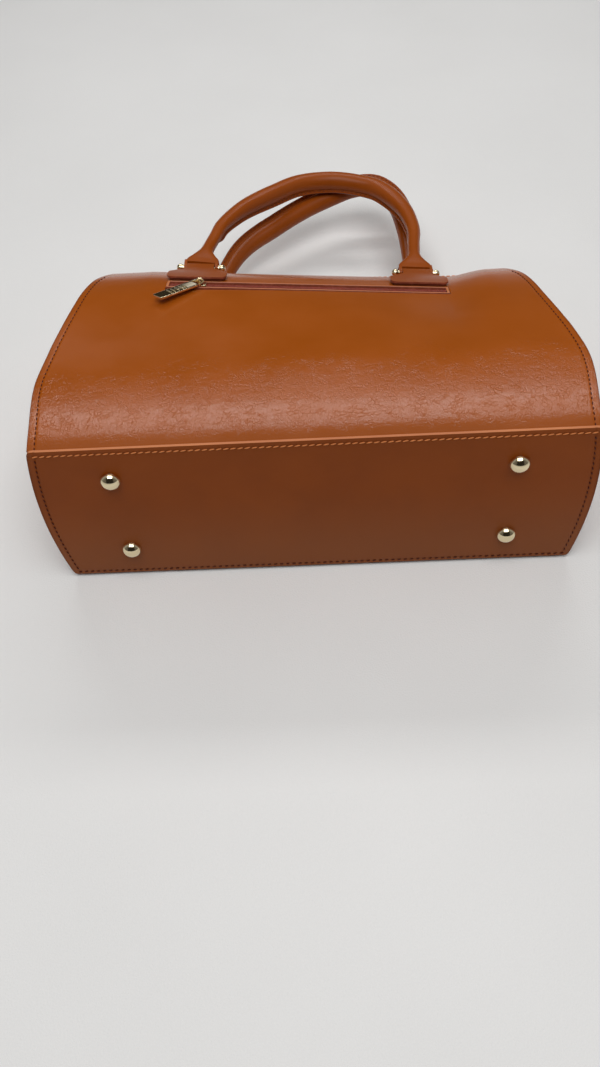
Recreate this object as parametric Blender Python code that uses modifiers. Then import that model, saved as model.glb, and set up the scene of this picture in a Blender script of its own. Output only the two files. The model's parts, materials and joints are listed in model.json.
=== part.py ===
"""A structured leather handbag lying on its front panel, base towards -Y and top towards +Y.

The body is measured in its own directions: x along the bag, height from the base up to the
top zip, and depth from the front edge of the base to its back edge. Each soft piece is laid
on the front, back or top of the body by its height and by its lift, the distance outwards
from the leather's outer face. Every length is in metres.
"""

import math

import bmesh
import bpy
from mathutils import Matrix, Vector

MM = 0.001
MERGE = 0.01 * MM
REACH = 0.5 * MM
OVERRUN = 1 * MM
SHARP = math.radians(35)

# Body
BASE_LENGTH = 340 * MM
BASE_DEPTH = 113 * MM
BODY_HEIGHT = 240 * MM
TOP_GAP = 26 * MM
BASE_RISE = 4 * MM
LEAN = math.radians(5)
LEATHER = 2 * MM
SEAM_GAP = 0.3 * MM
BASE_LIP = 1.6 * MM
BASE_CORNER = 3 * MM
FRONT_ROLL = 32 * MM
FRONT_FLAT_END = 148 * MM

# Depth past the zip's edge at shares of the height, as shares of the base's depth past it
BACK_PROFILE_SHARES = (
    (0.0, 1.0),
    (0.06, 1.045),
    (0.16, 1.065),
    (0.30, 1.026),
    (0.45, 0.942),
    (0.60, 0.838),
    (0.72, 0.721),
    (0.82, 0.584),
    (0.88, 0.461),
    (0.93, 0.318),
    (0.97, 0.143),
    (1.0, 0.0),
)
# Half length at shares of the height, as shares of half the base length
END_SHARES = (
    (0.0, 1.0),
    (0.08, 1.012),
    (0.27, 1.042),
    (0.42, 1.03),
    (0.52, 1.012),
    (0.65, 0.987),
    (0.75, 0.97),
    (0.83, 0.948),
    (0.9, 0.91),
    (0.955, 0.87),
    (1.0, 0.82),
)
# Rise of the front panel's shoulder off the table at shares of its run to the zip, as shares of its last rise
SHOULDER_SHARES = ((0.0, 0.0), (0.2, 0.025), (0.42, 0.125), (0.62, 0.30), (0.8, 0.55), (0.92, 0.79), (1.0, 1.0))

# Sag of the back panel's top, which is higher at the left and pressed in at the right handle tab
TWIST_SLOPE = 0.085
TWIST_LEFT = 120 * MM
TWIST_RIGHT = 102 * MM
RIGHT_BUMP = -2.5 * MM
RIGHT_BUMP_START = 140 * MM
ZIP_TWIST_SLOPE = 0.04
TWIST_START_SHARE = 0.30
TWIST_FULL_SHARE = 0.72
ZIP_BLEND_SHARE = 0.945

# End panels, sewn to the body with their edges out
FLANGE = 6 * MM
END_DOME = 5 * MM
END_BOW = 5.5 * MM
END_BOW_TOP = 150 * MM
END_CORNER = 8 * MM
BEND = 1.5 * MM
END_LOOP_SHARES = (0.07, 0.22, 0.55, 1.0)

# Base board, feet and their washers
BOARD = 2.4 * MM
BOARD_END_MARGIN = 9 * MM
BOARD_SIDE_MARGIN = 4 * MM
FOOT_SPACING_X = 249 * MM
FOOT_SPACING_DEPTH = 65 * MM
FOOT_RADIUS = 6.2 * MM
FOOT_HEIGHT = 6 * MM
FOOT_RIM = 0.8 * MM
FOOT_STEM_RADIUS = 1.5 * MM
WASHER_RADIUS = 7 * MM
WASHER = 1 * MM

# Lining
LINING = 0.8 * MM
LINING_DROP = 8 * MM
LINING_FLOOR = 6.6 * MM
LINING_TOP = 226 * MM
LINING_LEAD = 8 * MM
LINING_END_GAP = 4.2 * MM
LINING_STEP = 40 * MM
LINING_COLUMNS = 16
LINING_SIDES = 3

# Handle tabs, straps folded round the pins
TAB_SPACING = 167 * MM
TAB_LEATHER = 1.5 * MM
TAB_LOOP_WIDTH = 21 * MM
TAB_PATCH_WIDTH = 44 * MM
TAB_REACH = 31 * MM
TAB_CORNER = 5 * MM
TAB_FLAT = 12 * MM
TAB_NECK = 24 * MM
TAB_TUCK = 7 * MM
TAB_LEAVE = 110
TAB_ROUND_STEPS = 8
TAB_UNDER_STEPS = 4
TAB_COLUMNS = 4
TAB_CORNER_SHARES = (0.0, 0.08, 0.35, 1.0)
TAB_RISE_SHARES = ((0.0, 0.0), (0.3, 0.04), (0.6, 0.30), (0.85, 0.72), (1.0, 1.0))

# Pins
PIN_DROP = 19 * MM
PIN_HEIGHT = BODY_HEIGHT - PIN_DROP
PIN_RADIUS = 1.5 * MM
PIN_LIFT = 2 * SEAM_GAP + TAB_LEATHER + PIN_RADIUS
BALL_SPACING = 32 * MM
BALL_RADIUS = 2.9 * MM
BALL_STEPS = 5
COLLAR_RADIUS = 2.3 * MM
COLLAR_START = 13.3 * MM

# Pocket in the back panel
POCKET_TO_TABS = 7 * MM
POCKET_HEIGHT = PIN_HEIGHT - TAB_REACH - POCKET_TO_TABS
POCKET_LENGTH = 209 * MM
POCKET_WIDTH = 13 * MM
WELT = 2 * MM
WELT_LIFT = 0.6 * MM
POUCH_DEPTH = 120 * MM
POUCH_CLOTH = 0.5 * MM
POUCH_NEAR = 4.4 * MM
POUCH_FAR = 6.4 * MM
POUCH_FOLD = 2 * MM
POUCH_COLUMNS = 8
POUCH_ROWS = 5

# Zips
TAPE = 0.6 * MM
TAPE_WIDTH = 12 * MM
TOP_TAPE_WIDTH = 11.3 * MM
CHAIN_WIDTH = 2.3 * MM
CHAIN = 1.7 * MM
CHAIN_SLIT = 1.2 * MM
POCKET_ZIP_INSET = 3 * MM
POCKET_ZIP_LENGTH = POCKET_LENGTH - 2 * POCKET_ZIP_INSET
TOP_ZIP_LENGTH = 260 * MM
SLIDER_LENGTH = 10 * MM
SLIDER_WIDTH = 7.4 * MM
SLIDER_BLADE = 1 * MM
SLIDER_RIB = 0.6 * MM
BAIL = 1.2 * MM
BAIL_HEIGHT = 4.4 * MM
BAIL_LENGTH = 7 * MM
BAIL_SIDES = 6
PULLER_LENGTH = 42 * MM
PULLER_WIDTH = 9.5 * MM
PULLER = 1.6 * MM
PULLER_EYE = 5 * MM
PULLER_EYE_WIDTH = 7 * MM
PULLER_BAR = 1.3 * MM
PULLER_POINT = 1.5 * MM
PULLER_CORNER = 1.2 * MM
PULLER_RIBS = 5
PULLER_RIB = 0.4 * MM
PULLER_RIB_SPACING = 3.6 * MM
PULLER_RIB_LENGTH = 5.4 * MM
PULLER_RIB_WIDTH = 1.1 * MM
POCKET_SLIDER_REST = 21.5 * MM
POCKET_SLIDER_X = POCKET_SLIDER_REST - POCKET_ZIP_LENGTH / 2
TOP_SLIDER_REST = 12 * MM
TOP_SLIDER_X = TOP_SLIDER_REST - TOP_ZIP_LENGTH / 2
POCKET_PULLER_TURN = math.radians(48)
PULLER_DIP = math.radians(1.5)
ZIP_TAB = 12 * MM

# Handles
EAR = 2.2 * MM
EAR_RADIUS = 3.2 * MM
EAR_ROOT = 1.5 * MM
EAR_STEPS = 8
FORK_DEPTH = 5.4 * MM
STATION_SHARES = (1.0, 1.5, 2.0, 3.0, 4.0)
FLARE_WIDTH = 26.6 * MM
FLARE_THICKNESS = 6.4 * MM
FLARE_LENGTH = 27 * MM
FLARE_SHARES = ((0.0, 1.0), (0.2, 0.9), (0.45, 0.5), (0.75, 0.13), (1.0, 0.0))
FLARE_SQUARENESS = 5
NECK_WIDTH = 10 * MM
NECK_THICKNESS = 9 * MM
NECK_END = 40 * MM
TUBE = 15.5 * MM
TUBE_START = 140 * MM
HANDLE_WALL = 1.9 * MM
HANDLE_BORE_WIDTH = 17 * MM
CORE_START = 34 * MM
BACK_HANDLE_DROP = 151 * MM
FRONT_HANDLE_DROP = 171 * MM
BACK_HANDLE_TILT = math.radians(-6)
FRONT_HANDLE_TILT = math.radians(9.5)
# Course of each handle: place along the pins as a share of half the tab spacing, and reach as a share of the drop
BACK_HANDLE_SHARES = (
    (-1.0, 0.0),
    (-0.97, 0.15),
    (-0.91, 0.30),
    (-0.84, 0.45),
    (-0.645, 0.64),
    (-0.38, 0.80),
    (-0.09, 0.945),
    (0.23, 1.0),
    (0.49, 0.985),
    (0.765, 0.91),
    (0.98, 0.70),
    (1.055, 0.47),
    (1.03, 0.28),
    (1.01, 0.14),
    (1.0, 0.0),
)
FRONT_HANDLE_SHARES = (
    (-1.0, 0.0),
    (-0.98, 0.13),
    (-0.94, 0.28),
    (-0.85, 0.44),
    (-0.66, 0.60),
    (-0.34, 0.735),
    (-0.04, 0.845),
    (0.26, 0.93),
    (0.52, 0.985),
    (0.76, 0.98),
    (0.95, 0.86),
    (1.03, 0.66),
    (1.04, 0.42),
    (1.02, 0.17),
    (1.0, 0.0),
)

# Spacing and counts of the meshes' rows
COLUMN_STEP = 20 * MM
ROW_STEP = 9 * MM
ROLL_STEP = 6 * MM
TURN_STEP = 16 * MM
CORNER_STEPS = 4
BASE_STEPS = 6
BOW_STEPS = 8
TOP_STEPS = 2
DOME_STEPS = 4
ROUND_SIDES = 20
HOLE_SIDES = 12
RING_POINTS = 12


def smooth(value):
    """An ease from 0 to 1 as value goes from 0 to 1."""
    t = min(max(value, 0.0), 1.0)
    return t * t * (3 - 2 * t)


def between(value, shares):
    """The smooth curve through pairs of shares, read at value."""
    last = len(shares) - 2
    index = 0
    while index < last and value > shares[index + 1][0]:
        index += 1
    (low, start), (high, end) = shares[index], shares[index + 1]
    before = shares[index - 1] if index else (2 * low - high, 2 * start - end)
    after = shares[index + 2] if index < last else (2 * high - low, 2 * end - start)
    span = high - low
    slope_in = (end - before[1]) / (high - before[0]) * span
    slope_out = (after[1] - start) / (after[0] - low) * span
    t = (value - low) / span
    return (
        (2 * t**3 - 3 * t**2 + 1) * start
        + (t**3 - 2 * t**2 + t) * slope_in
        + (3 * t**2 - 2 * t**3) * end
        + (t**3 - t**2) * slope_out
    )


def steps(low, high, count):
    """Evenly spaced values from low to high, both included."""
    return [low + (high - low) * index / count for index in range(count + 1)]


def bag_point(x, height, depth):
    """A place in the bag's own directions, turned to how the bag lies."""
    return Vector(
        (
            x,
            height * math.cos(LEAN) + depth * math.sin(LEAN),
            BASE_RISE + depth * math.cos(LEAN) - height * math.sin(LEAN),
        )
    )


def table_depth(height, rise=0.0):
    """The depth, at this height, of a place that lies at rise over the table."""
    return (rise - BASE_RISE + height * math.sin(LEAN)) / math.cos(LEAN)


def half_length(height):
    """Half the body's length at this height."""
    return BASE_LENGTH / 2 * between(height / BODY_HEIGHT, END_SHARES)


def end_bow(depth):
    """How far the base's ends bow out between their corners."""
    share = 2 * depth / BASE_DEPTH - 1
    return END_BOW * max(1 - share * share, 0.0)


def panel_twist(x):
    """How far the back panel's top is raised at x."""
    middle = -TWIST_SLOPE * min(max(x, -TWIST_LEFT), TWIST_RIGHT)
    ease = smooth((x - TWIST_RIGHT) / (RIGHT_BUMP_START - TWIST_RIGHT))
    return middle + (RIGHT_BUMP - middle) * ease


def top_blend(height):
    """How far a height lies on the way from the handle tabs to the zip."""
    start = ZIP_BLEND_SHARE * BODY_HEIGHT
    return smooth((height - start) / (BODY_HEIGHT - start))


def back_depth(x, height):
    share = height / BODY_HEIGHT
    full = smooth((share - TWIST_START_SHARE) / (TWIST_FULL_SHARE - TWIST_START_SHARE))
    blend = top_blend(height)
    twist = full * ((1 - blend) * panel_twist(x) - blend * ZIP_TWIST_SLOPE * x)
    past_zip = (BASE_DEPTH - TOP_GAP) / 2 * between(share, BACK_PROFILE_SHARES)
    return (BASE_DEPTH + TOP_GAP) / 2 + past_zip + twist


def front_depth(x, height):
    if height < FRONT_ROLL:
        return table_depth(height, BASE_RISE * (1 - math.sin(math.pi / 2 * height / FRONT_ROLL)))
    if height < FRONT_FLAT_END:
        return table_depth(height)
    edge = (BASE_DEPTH - TOP_GAP) / 2
    last_rise = BASE_RISE + edge * math.cos(LEAN) - BODY_HEIGHT * math.sin(LEAN)
    run = (height - FRONT_FLAT_END) / (BODY_HEIGHT - FRONT_FLAT_END)
    rise = last_rise * between(run, SHOULDER_SHARES)
    return table_depth(height, rise) - top_blend(height) * ZIP_TWIST_SLOPE * x


def lifted(place, x, height, lift, flip):
    """A place on a face of the body, moved out along that face's normal."""
    along = place(x + REACH, height) - place(x - REACH, height)
    up = place(x, height + REACH) - place(x, height - REACH)
    return place(x, height) + along.cross(up).normalized() * lift * flip


def on_back(x, height, lift=0.0):
    return lifted(lambda a, h: bag_point(a, h, back_depth(a, h)), x, height, lift, 1)


def on_front(x, height, lift=0.0):
    return lifted(lambda a, h: bag_point(a, h, front_depth(a, h)), x, height, lift, -1)


def on_top(x, across, lift=0.0):
    """A place over the top zip's middle line: across goes towards the back panel."""
    middle = BASE_DEPTH / 2
    return lifted(
        lambda a, c: bag_point(a, BODY_HEIGHT, middle - ZIP_TWIST_SLOPE * a + c), x, across, lift, -1
    )


def on_base(x, depth, lift=0.0):
    """A place on the base's outer face, where lift goes outwards, away from the bag."""
    return bag_point(x, -lift, depth)


def clear_scene():
    for item in list(bpy.data.objects):
        bpy.data.objects.remove(item, do_unlink=True)


def new_collection(name):
    made = bpy.data.collections.new(name)
    bpy.context.scene.collection.children.link(made)
    return made


def new_material(name, colour, roughness, metallic=0.0):
    made = bpy.data.materials.new(name)
    made.use_nodes = True
    shader = made.node_tree.nodes["Principled BSDF"]
    shader.inputs["Base Color"].default_value = (*colour, 1)
    shader.inputs["Roughness"].default_value = roughness
    shader.inputs["Metallic"].default_value = metallic
    made.diffuse_color = (*colour, 1)
    return made


def make_smooth_leather():
    return new_material("smooth_leather", (0.30, 0.066, 0.008), 0.42)


def make_base_leather():
    return new_material("base_leather", (0.17, 0.045, 0.012), 0.5)


def make_edge_leather():
    return new_material("edge_leather", (0.55, 0.20, 0.09), 0.5)


def make_pale_gold():
    return new_material("pale_gold", (0.83, 0.61, 0.31), 0.22, 1.0)


def make_plain_steel():
    return new_material("plain_steel", (0.55, 0.55, 0.56), 0.35, 1.0)


def make_zip_tape_cloth():
    return new_material("zip_tape", (0.075, 0.012, 0.014), 0.85)


def make_coil_nylon():
    return new_material("zip_coil", (0.09, 0.015, 0.018), 0.45)


def make_lining_cloth():
    return new_material("lining_cloth", (0.28, 0.17, 0.09), 0.9)


def make_fibreboard():
    return new_material("fibreboard", (0.36, 0.26, 0.16), 0.9)


def make_core_rope():
    return new_material("core_rope", (0.62, 0.55, 0.42), 0.9)


def world_place(item):
    """Where an empty is, from the empties that it hangs on, none of which is turned."""
    total = Vector()
    while item:
        total += item.location
        item = item.parent
    return total


def new_empty(name, place=Vector(), parent=None):
    made = bpy.data.objects.new(name, None)
    made.empty_display_size = FLANGE
    bag_collection.objects.link(made)
    made.parent = parent
    made.location = place - world_place(parent)
    return made


def add_object(name, mesh, material, parent):
    """A named object made from a mesh in world places, with its origin on its parent's."""
    mesh.transform(Matrix.Translation(-world_place(parent)))
    made = bpy.data.objects.new(name, mesh)
    bag_collection.objects.link(made)
    mesh.materials.clear()
    mesh.materials.append(material)
    made.parent = parent
    return made


def solidify(item, thickness, outwards=False):
    wall = item.modifiers.new("wall", "SOLIDIFY")
    wall.thickness = thickness
    wall.offset = 1.0 if outwards else -1.0
    wall.use_even_offset = True
    wall.use_quality_normals = True


def mapped_sheet(columns, rows, place, hole=None, closed=False):
    """A grid laid out by place(column, row), with the cells that hole names left open."""
    shape = bmesh.new()
    bmesh.ops.create_grid(shape, x_segments=len(columns) - 1, y_segments=len(rows) - 1, size=1.0)
    grid = {}
    for corner in shape.verts:
        column = round((corner.co.x + 1) / 2 * (len(columns) - 1))
        row = round((corner.co.y + 1) / 2 * (len(rows) - 1))
        grid[corner] = (columns[column], rows[row])
    if hole:
        gone = []
        for face in shape.faces:
            spots = [grid[corner] for corner in face.verts]
            middle = [sum(values) / len(spots) for values in zip(*spots)]
            if hole(*middle):
                gone.append(face)
    for corner, spot in grid.items():
        corner.co = place(*spot)
    if hole:
        bmesh.ops.delete(shape, geom=gone, context="FACES")
    if closed:
        bmesh.ops.remove_doubles(shape, verts=shape.verts, dist=MERGE)
    mesh = bpy.data.meshes.new("sheet")
    shape.to_mesh(mesh)
    shape.free()
    mesh.shade_smooth()
    return mesh


def local_mesh(shape, matrix):
    """A bmesh made a mesh and moved by the matrix, with its sharp edges kept."""
    bmesh.ops.recalc_face_normals(shape, faces=shape.faces)
    mesh = bpy.data.meshes.new("solid")
    shape.to_mesh(mesh)
    shape.free()
    mesh.transform(matrix)
    mesh.shade_smooth()
    mesh.set_sharp_from_angle(angle=SHARP)
    return mesh


def frame_at(origin, along, up):
    """A matrix whose X is along, whose Z is near up, and whose place is origin."""
    x_axis = along.normalized()
    y_axis = up.cross(x_axis).normalized()
    z_axis = x_axis.cross(y_axis)
    matrix = Matrix((x_axis, y_axis, z_axis)).transposed().to_4x4()
    matrix.translation = origin
    return matrix


def surface_frame(place, x, row, lift):
    """The frame of a rigid piece that lies on a face: X along the bag, Z out of the face."""
    along = place(x + REACH, row, lift) - place(x - REACH, row, lift)
    out = place(x, row, lift + REACH) - place(x, row, lift)
    return frame_at(place(x, row, lift), along, out)


def rows_between(marks, longest):
    """Values through every mark, with none further from the next than longest."""
    found = [marks[0]]
    for low, high in zip(marks, marks[1:]):
        count = max(1, math.ceil((high - low) / longest))
        found += steps(low, high, count)[1:]
    return found


def panel_columns():
    """Places along the bag that hold the pocket's two ends and the body's two ends."""
    half = BASE_LENGTH / 2
    pocket = POCKET_LENGTH / 2
    marks = sorted((-half, -TWIST_LEFT, -pocket, pocket, RIGHT_BUMP_START, half))
    return rows_between(marks, COLUMN_STEP)


def spread(column, height):
    """Columns past the pocket move out to the body's ends, which curve with the height."""
    inner = POCKET_LENGTH / 2
    if abs(column) <= inner:
        return column
    share = (abs(column) - inner) / (BASE_LENGTH / 2 - inner)
    return math.copysign(inner + share * (half_length(height) - inner), column)


def back_heights():
    low = POCKET_HEIGHT - POCKET_WIDTH / 2
    high = POCKET_HEIGHT + POCKET_WIDTH / 2
    return rows_between([LEATHER + SEAM_GAP, low, high, BODY_HEIGHT], ROW_STEP)


def front_heights():
    marks = [LEATHER + SEAM_GAP, FRONT_ROLL, FRONT_FLAT_END, BODY_HEIGHT]
    return rows_between(marks[:2], ROLL_STEP) + [marks[2]] + rows_between(marks[2:], ROW_STEP)[1:]


def in_pocket(column, height):
    return abs(column) < POCKET_LENGTH / 2 and abs(height - POCKET_HEIGHT) < POCKET_WIDTH / 2


def make_back_panel():
    mesh = mapped_sheet(
        panel_columns(), back_heights(), lambda c, h: on_back(spread(c, h), h), hole=in_pocket
    )
    solidify(add_object("back_panel", mesh, leather, bag), LEATHER)


def make_front_panel():
    rows = front_heights()[::-1]
    mesh = mapped_sheet(panel_columns(), rows, lambda c, h: on_front(spread(c, h), h))
    solidify(add_object("front_panel", mesh, leather, bag), LEATHER)


def plate(name, half_x, low_depth, high_depth, lift, thickness, bowed, material):
    """A flat plate along the base, with rounded corners, whose outer face is at lift."""
    outline = []
    corner = BASE_CORNER
    middle = (low_depth + high_depth) / 2
    half = (high_depth - low_depth) / 2
    for quarter in range(4):
        side_x, side_y = ((1, 1), (-1, 1), (-1, -1), (1, -1))[quarter]
        for angle in steps(quarter * 90, quarter * 90 + 90, CORNER_STEPS):
            turn = math.radians(angle)
            outline.append(
                (
                    side_x * (half_x - corner) + corner * math.cos(turn),
                    side_y * (half - corner) + corner * math.sin(turn),
                )
            )
        if bowed and side_x != side_y:
            for share in steps(side_y, -side_y, BOW_STEPS)[1:-1]:
                depth = share * (half - corner)
                outline.append((side_x * (half_x + end_bow(middle + depth)), depth))
    mesh = outline_mesh([outline], thickness)
    matrix = frame_at(
        on_base(0, middle, lift - thickness / 2),
        Vector((1, 0, 0)),
        on_base(0, 0, OVERRUN) - on_base(0, 0),
    )
    mesh.transform(matrix)
    return add_object(name, mesh, material, bag)


def outline_mesh(outlines, thickness):
    """A flat outline, with any holes, extruded evenly to both sides and made a closed mesh."""
    curve = bpy.data.curves.new("outline", "CURVE")
    curve.dimensions = "2D"
    curve.fill_mode = "BOTH"
    curve.extrude = thickness / 2
    for points in outlines:
        spline = curve.splines.new("POLY")
        spline.points.add(len(points) - 1)
        for spot, (x, y) in zip(spline.points, points):
            spot.co = (x, y, 0, 1)
        spline.use_cyclic_u = True
    drawn = bpy.data.objects.new("outline", curve)
    bag_collection.objects.link(drawn)
    bpy.context.view_layer.update()
    mesh = bpy.data.meshes.new_from_object(drawn.evaluated_get(bpy.context.evaluated_depsgraph_get()))
    bpy.data.objects.remove(drawn, do_unlink=True)
    bpy.data.curves.remove(curve)
    shape = bmesh.new()
    shape.from_mesh(mesh)
    bmesh.ops.remove_doubles(shape, verts=shape.verts, dist=MERGE)
    bmesh.ops.recalc_face_normals(shape, faces=shape.faces)
    shape.to_mesh(mesh)
    shape.free()
    return mesh


def cut(item, cutter, operation="DIFFERENCE"):
    change = item.modifiers.new("cut", "BOOLEAN")
    change.operation = operation
    change.object = cutter
    change.solver = "EXACT"


def add_cutter(name, mesh, parent):
    """A hidden shape, made from a mesh in world places, that cuts or joins a piece."""
    mesh.transform(Matrix.Translation(-world_place(parent)))
    made = bpy.data.objects.new(name, mesh)
    cutter_collection.objects.link(made)
    made.parent = parent
    made.hide_render = True
    made.display_type = "WIRE"
    return made


def foot_places():
    for side_x, end in ((-1, "left"), (1, "right")):
        for side_depth, face in ((-1, "front"), (1, "back")):
            depth = BASE_DEPTH / 2 + side_depth * FOOT_SPACING_DEPTH / 2
            yield f"{face}_{end}", side_x * FOOT_SPACING_X / 2, depth


def make_foot_holes():
    """Four pegs, joined in one cutter, that bore the base and its board for the feet."""
    shape = bmesh.new()
    radius = FOOT_STEM_RADIUS + SEAM_GAP
    reach = LEATHER + SEAM_GAP + BOARD
    for _, x, depth in foot_places():
        frame = foot_frame(x, depth, -reach / 2)
        bmesh.ops.create_cone(
            shape,
            cap_ends=True,
            segments=HOLE_SIDES,
            radius1=radius,
            radius2=radius,
            depth=reach + 2 * OVERRUN,
            matrix=frame,
        )
    mesh = bpy.data.meshes.new("foot_holes")
    shape.to_mesh(mesh)
    shape.free()
    return add_cutter("foot_holes", mesh, bag)


def foot_frame(x, depth, lift):
    out = on_base(x, depth, OVERRUN) - on_base(x, depth)
    return frame_at(on_base(x, depth, lift), Vector((1, 0, 0)), out)


def make_base():
    holes = make_foot_holes()
    base = plate(
        "base_panel",
        BASE_LENGTH / 2,
        -BASE_LIP,
        BASE_DEPTH + BASE_LIP,
        0,
        LEATHER,
        True,
        base_leather,
    )
    cut(base, holes)
    board = plate(
        "base_board",
        BASE_LENGTH / 2 - BOARD_END_MARGIN,
        BOARD_SIDE_MARGIN,
        BASE_DEPTH - BOARD_SIDE_MARGIN,
        -LEATHER - SEAM_GAP,
        BOARD,
        False,
        fibreboard,
    )
    cut(board, holes)


def turned(name, profile, sides, material, parent, matrix):
    """A profile of (radius, height) points, run down its outer side, turned about Z."""
    mesh = bpy.data.meshes.new(name)
    spots = [(radius, 0, height) for radius, height in profile]
    edges = [(index, index + 1) for index in range(len(spots) - 1)]
    if profile[0][0] > 0:
        edges.append((len(spots) - 1, 0))
    mesh.from_pydata(spots, edges, [])
    made = bpy.data.objects.new(name, mesh)
    bag_collection.objects.link(made)
    mesh.materials.append(material)
    made.parent = parent
    made.matrix_local = Matrix.Translation(-world_place(parent)) @ matrix
    turn = made.modifiers.new("turn", "SCREW")
    turn.axis = "Z"
    turn.steps = sides
    turn.render_steps = sides
    turn.use_merge_vertices = True
    turn.merge_threshold = MERGE
    turn.use_smooth_shade = True
    return made


def arc(centre_height, radius, start, end, count):
    """Points of a profile along an arc centred on the axis, by angle up from the side."""
    return [
        (radius * math.cos(math.radians(angle)), centre_height + radius * math.sin(math.radians(angle)))
        for angle in steps(start, end, count)
    ]


def foot_profile():
    stem_end = -(LEATHER + SEAM_GAP + BOARD + SEAM_GAP + WASHER)
    rise = FOOT_HEIGHT - FOOT_RIM
    dome = [(0.0, FOOT_HEIGHT)]
    for angle in steps(0, 90, DOME_STEPS)[1:]:
        turn = math.radians(angle)
        dome.append((FOOT_RADIUS * math.sin(turn), FOOT_RIM + rise * math.cos(turn)))
    return dome + [
        (FOOT_RADIUS - FOOT_RIM / 2, SEAM_GAP),
        (FOOT_STEM_RADIUS, SEAM_GAP),
        (FOOT_STEM_RADIUS, stem_end),
        (0, stem_end),
    ]


def make_feet():
    hole = FOOT_STEM_RADIUS + SEAM_GAP
    top = -(LEATHER + SEAM_GAP + BOARD + SEAM_GAP)
    ring = [
        (WASHER_RADIUS, top),
        (WASHER_RADIUS, top - WASHER),
        (hole, top - WASHER),
        (hole, top),
    ]
    for place, x, depth in foot_places():
        frame = foot_frame(x, depth, 0)
        turned(f"foot_{place}", foot_profile(), ROUND_SIDES, gold, bag, frame)
        turned(f"foot_washer_{place}", ring, HOLE_SIDES, steel, bag, frame)


def end_outline(side):
    """The body's outer outline at one end, as (height, depth), from the front's top round to the back's."""
    found = []
    fronts = [height for height in front_heights()[::-1] if height > END_CORNER]
    backs = [height for height in back_heights() if height > END_CORNER]
    for height in fronts:
        x = side * half_length(height)
        found.append((height, front_depth(x, height)))
    x = side * half_length(0)
    found.append((0.0, front_depth(x, 0)))
    found += [(0.0, depth) for depth in steps(0, BASE_DEPTH, BASE_STEPS)[1:-1]]
    found.append((0.0, back_depth(x, 0)))
    for height in backs:
        x = side * half_length(height)
        found.append((height, back_depth(x, height)))
    top_low = found[0][1]
    top_high = found[-1][1]
    found += [(BODY_HEIGHT, depth) for depth in steps(top_high, top_low, TOP_STEPS)[1:-1]]
    return [Vector(spot) for spot in found]


def inset(outline, distance):
    """The outline moved inwards by a distance, with its corners kept square."""
    moved = []
    for index, spot in enumerate(outline):
        before = (spot - outline[index - 1]).normalized()
        after = (outline[(index + 1) % len(outline)] - spot).normalized()
        outwards = Vector((-before.y - after.y, before.x + after.x)).normalized()
        square = max(abs(outwards.dot(Vector((-before.y, before.x)))), 0.5)
        moved.append(spot - outwards * distance / square)
    return moved


def make_end_panel(side, name):
    outline = end_outline(side)
    tray = 2 * LEATHER + 3 * SEAM_GAP
    rim = inset(outline, tray)
    floor = inset(outline, tray + BEND)
    centre = Vector((BODY_HEIGHT / 2, BASE_DEPTH / 2 + BODY_HEIGHT * math.tan(LEAN) / 4))
    loops = [(0.0, 0.0), (1.0, FLANGE - BEND), (2.0, FLANGE)]
    loops += [(2 + share, FLANGE) for share in END_LOOP_SHARES]

    def place(column, row):
        index = int(column) % len(outline)
        level, depth_in = loops[int(row)]
        if level < 2:
            spot = rim[index]
            x = half_length(outline[index].x) - depth_in
        else:
            k = 3 - level
            edge = floor[index]
            spot = centre + (edge - centre) * k
            height = outline[index].x if k == 1 else spot.x
            x = half_length(height) - depth_in + END_DOME * (1 - k * k)
        x += end_bow(spot.y) * (1 - smooth(spot.x / END_BOW_TOP))
        return bag_point(side * x, spot.x, spot.y)

    columns = list(range(len(outline) + 1))
    if side > 0:
        columns.reverse()
    mesh = mapped_sheet(columns, list(range(len(loops))), place, closed=True)
    solidify(add_object(name, mesh, leather, bag), LEATHER)


def cup_ring(half_sides):
    """Shares round a rectangle, as (along, across), starting at the front's left corner."""
    along, across = half_sides
    front = [(share, -1.0) for share in steps(-1, 1, along)]
    right = [(1.0, share) for share in steps(-1, 1, across)][1:]
    back = [(share, 1.0) for share in steps(1, -1, along)][1:]
    left = [(-1.0, share) for share in steps(1, -1, across)][1:]
    return front + right + back + left


def make_lining():
    ring = cup_ring((LINING_COLUMNS, LINING_SIDES))
    rows = rows_between([LINING_FLOOR, 2 * LINING_FLOOR, LINING_TOP], LINING_STEP)

    def place(column, row):
        along, across = ring[int(column)]
        height = rows[max(int(row) - 1, 0)]
        half = min(half_length(height), half_length(height + LINING_LEAD))
        x = along * (half - FLANGE - LEATHER - LINING_END_GAP)
        low = front_depth(x, height) + LINING_DROP
        high = back_depth(x, height) - LINING_DROP
        if row == 0:
            return bag_point(x, height, (low + high) / 2)
        return bag_point(x, height, low + (high - low) * (across + 1) / 2)

    columns = list(range(len(ring)))[::-1]
    mesh = mapped_sheet(columns, list(range(len(rows) + 1)), place, closed=True)
    solidify(add_object("lining", mesh, lining_cloth, bag), LINING)


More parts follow.
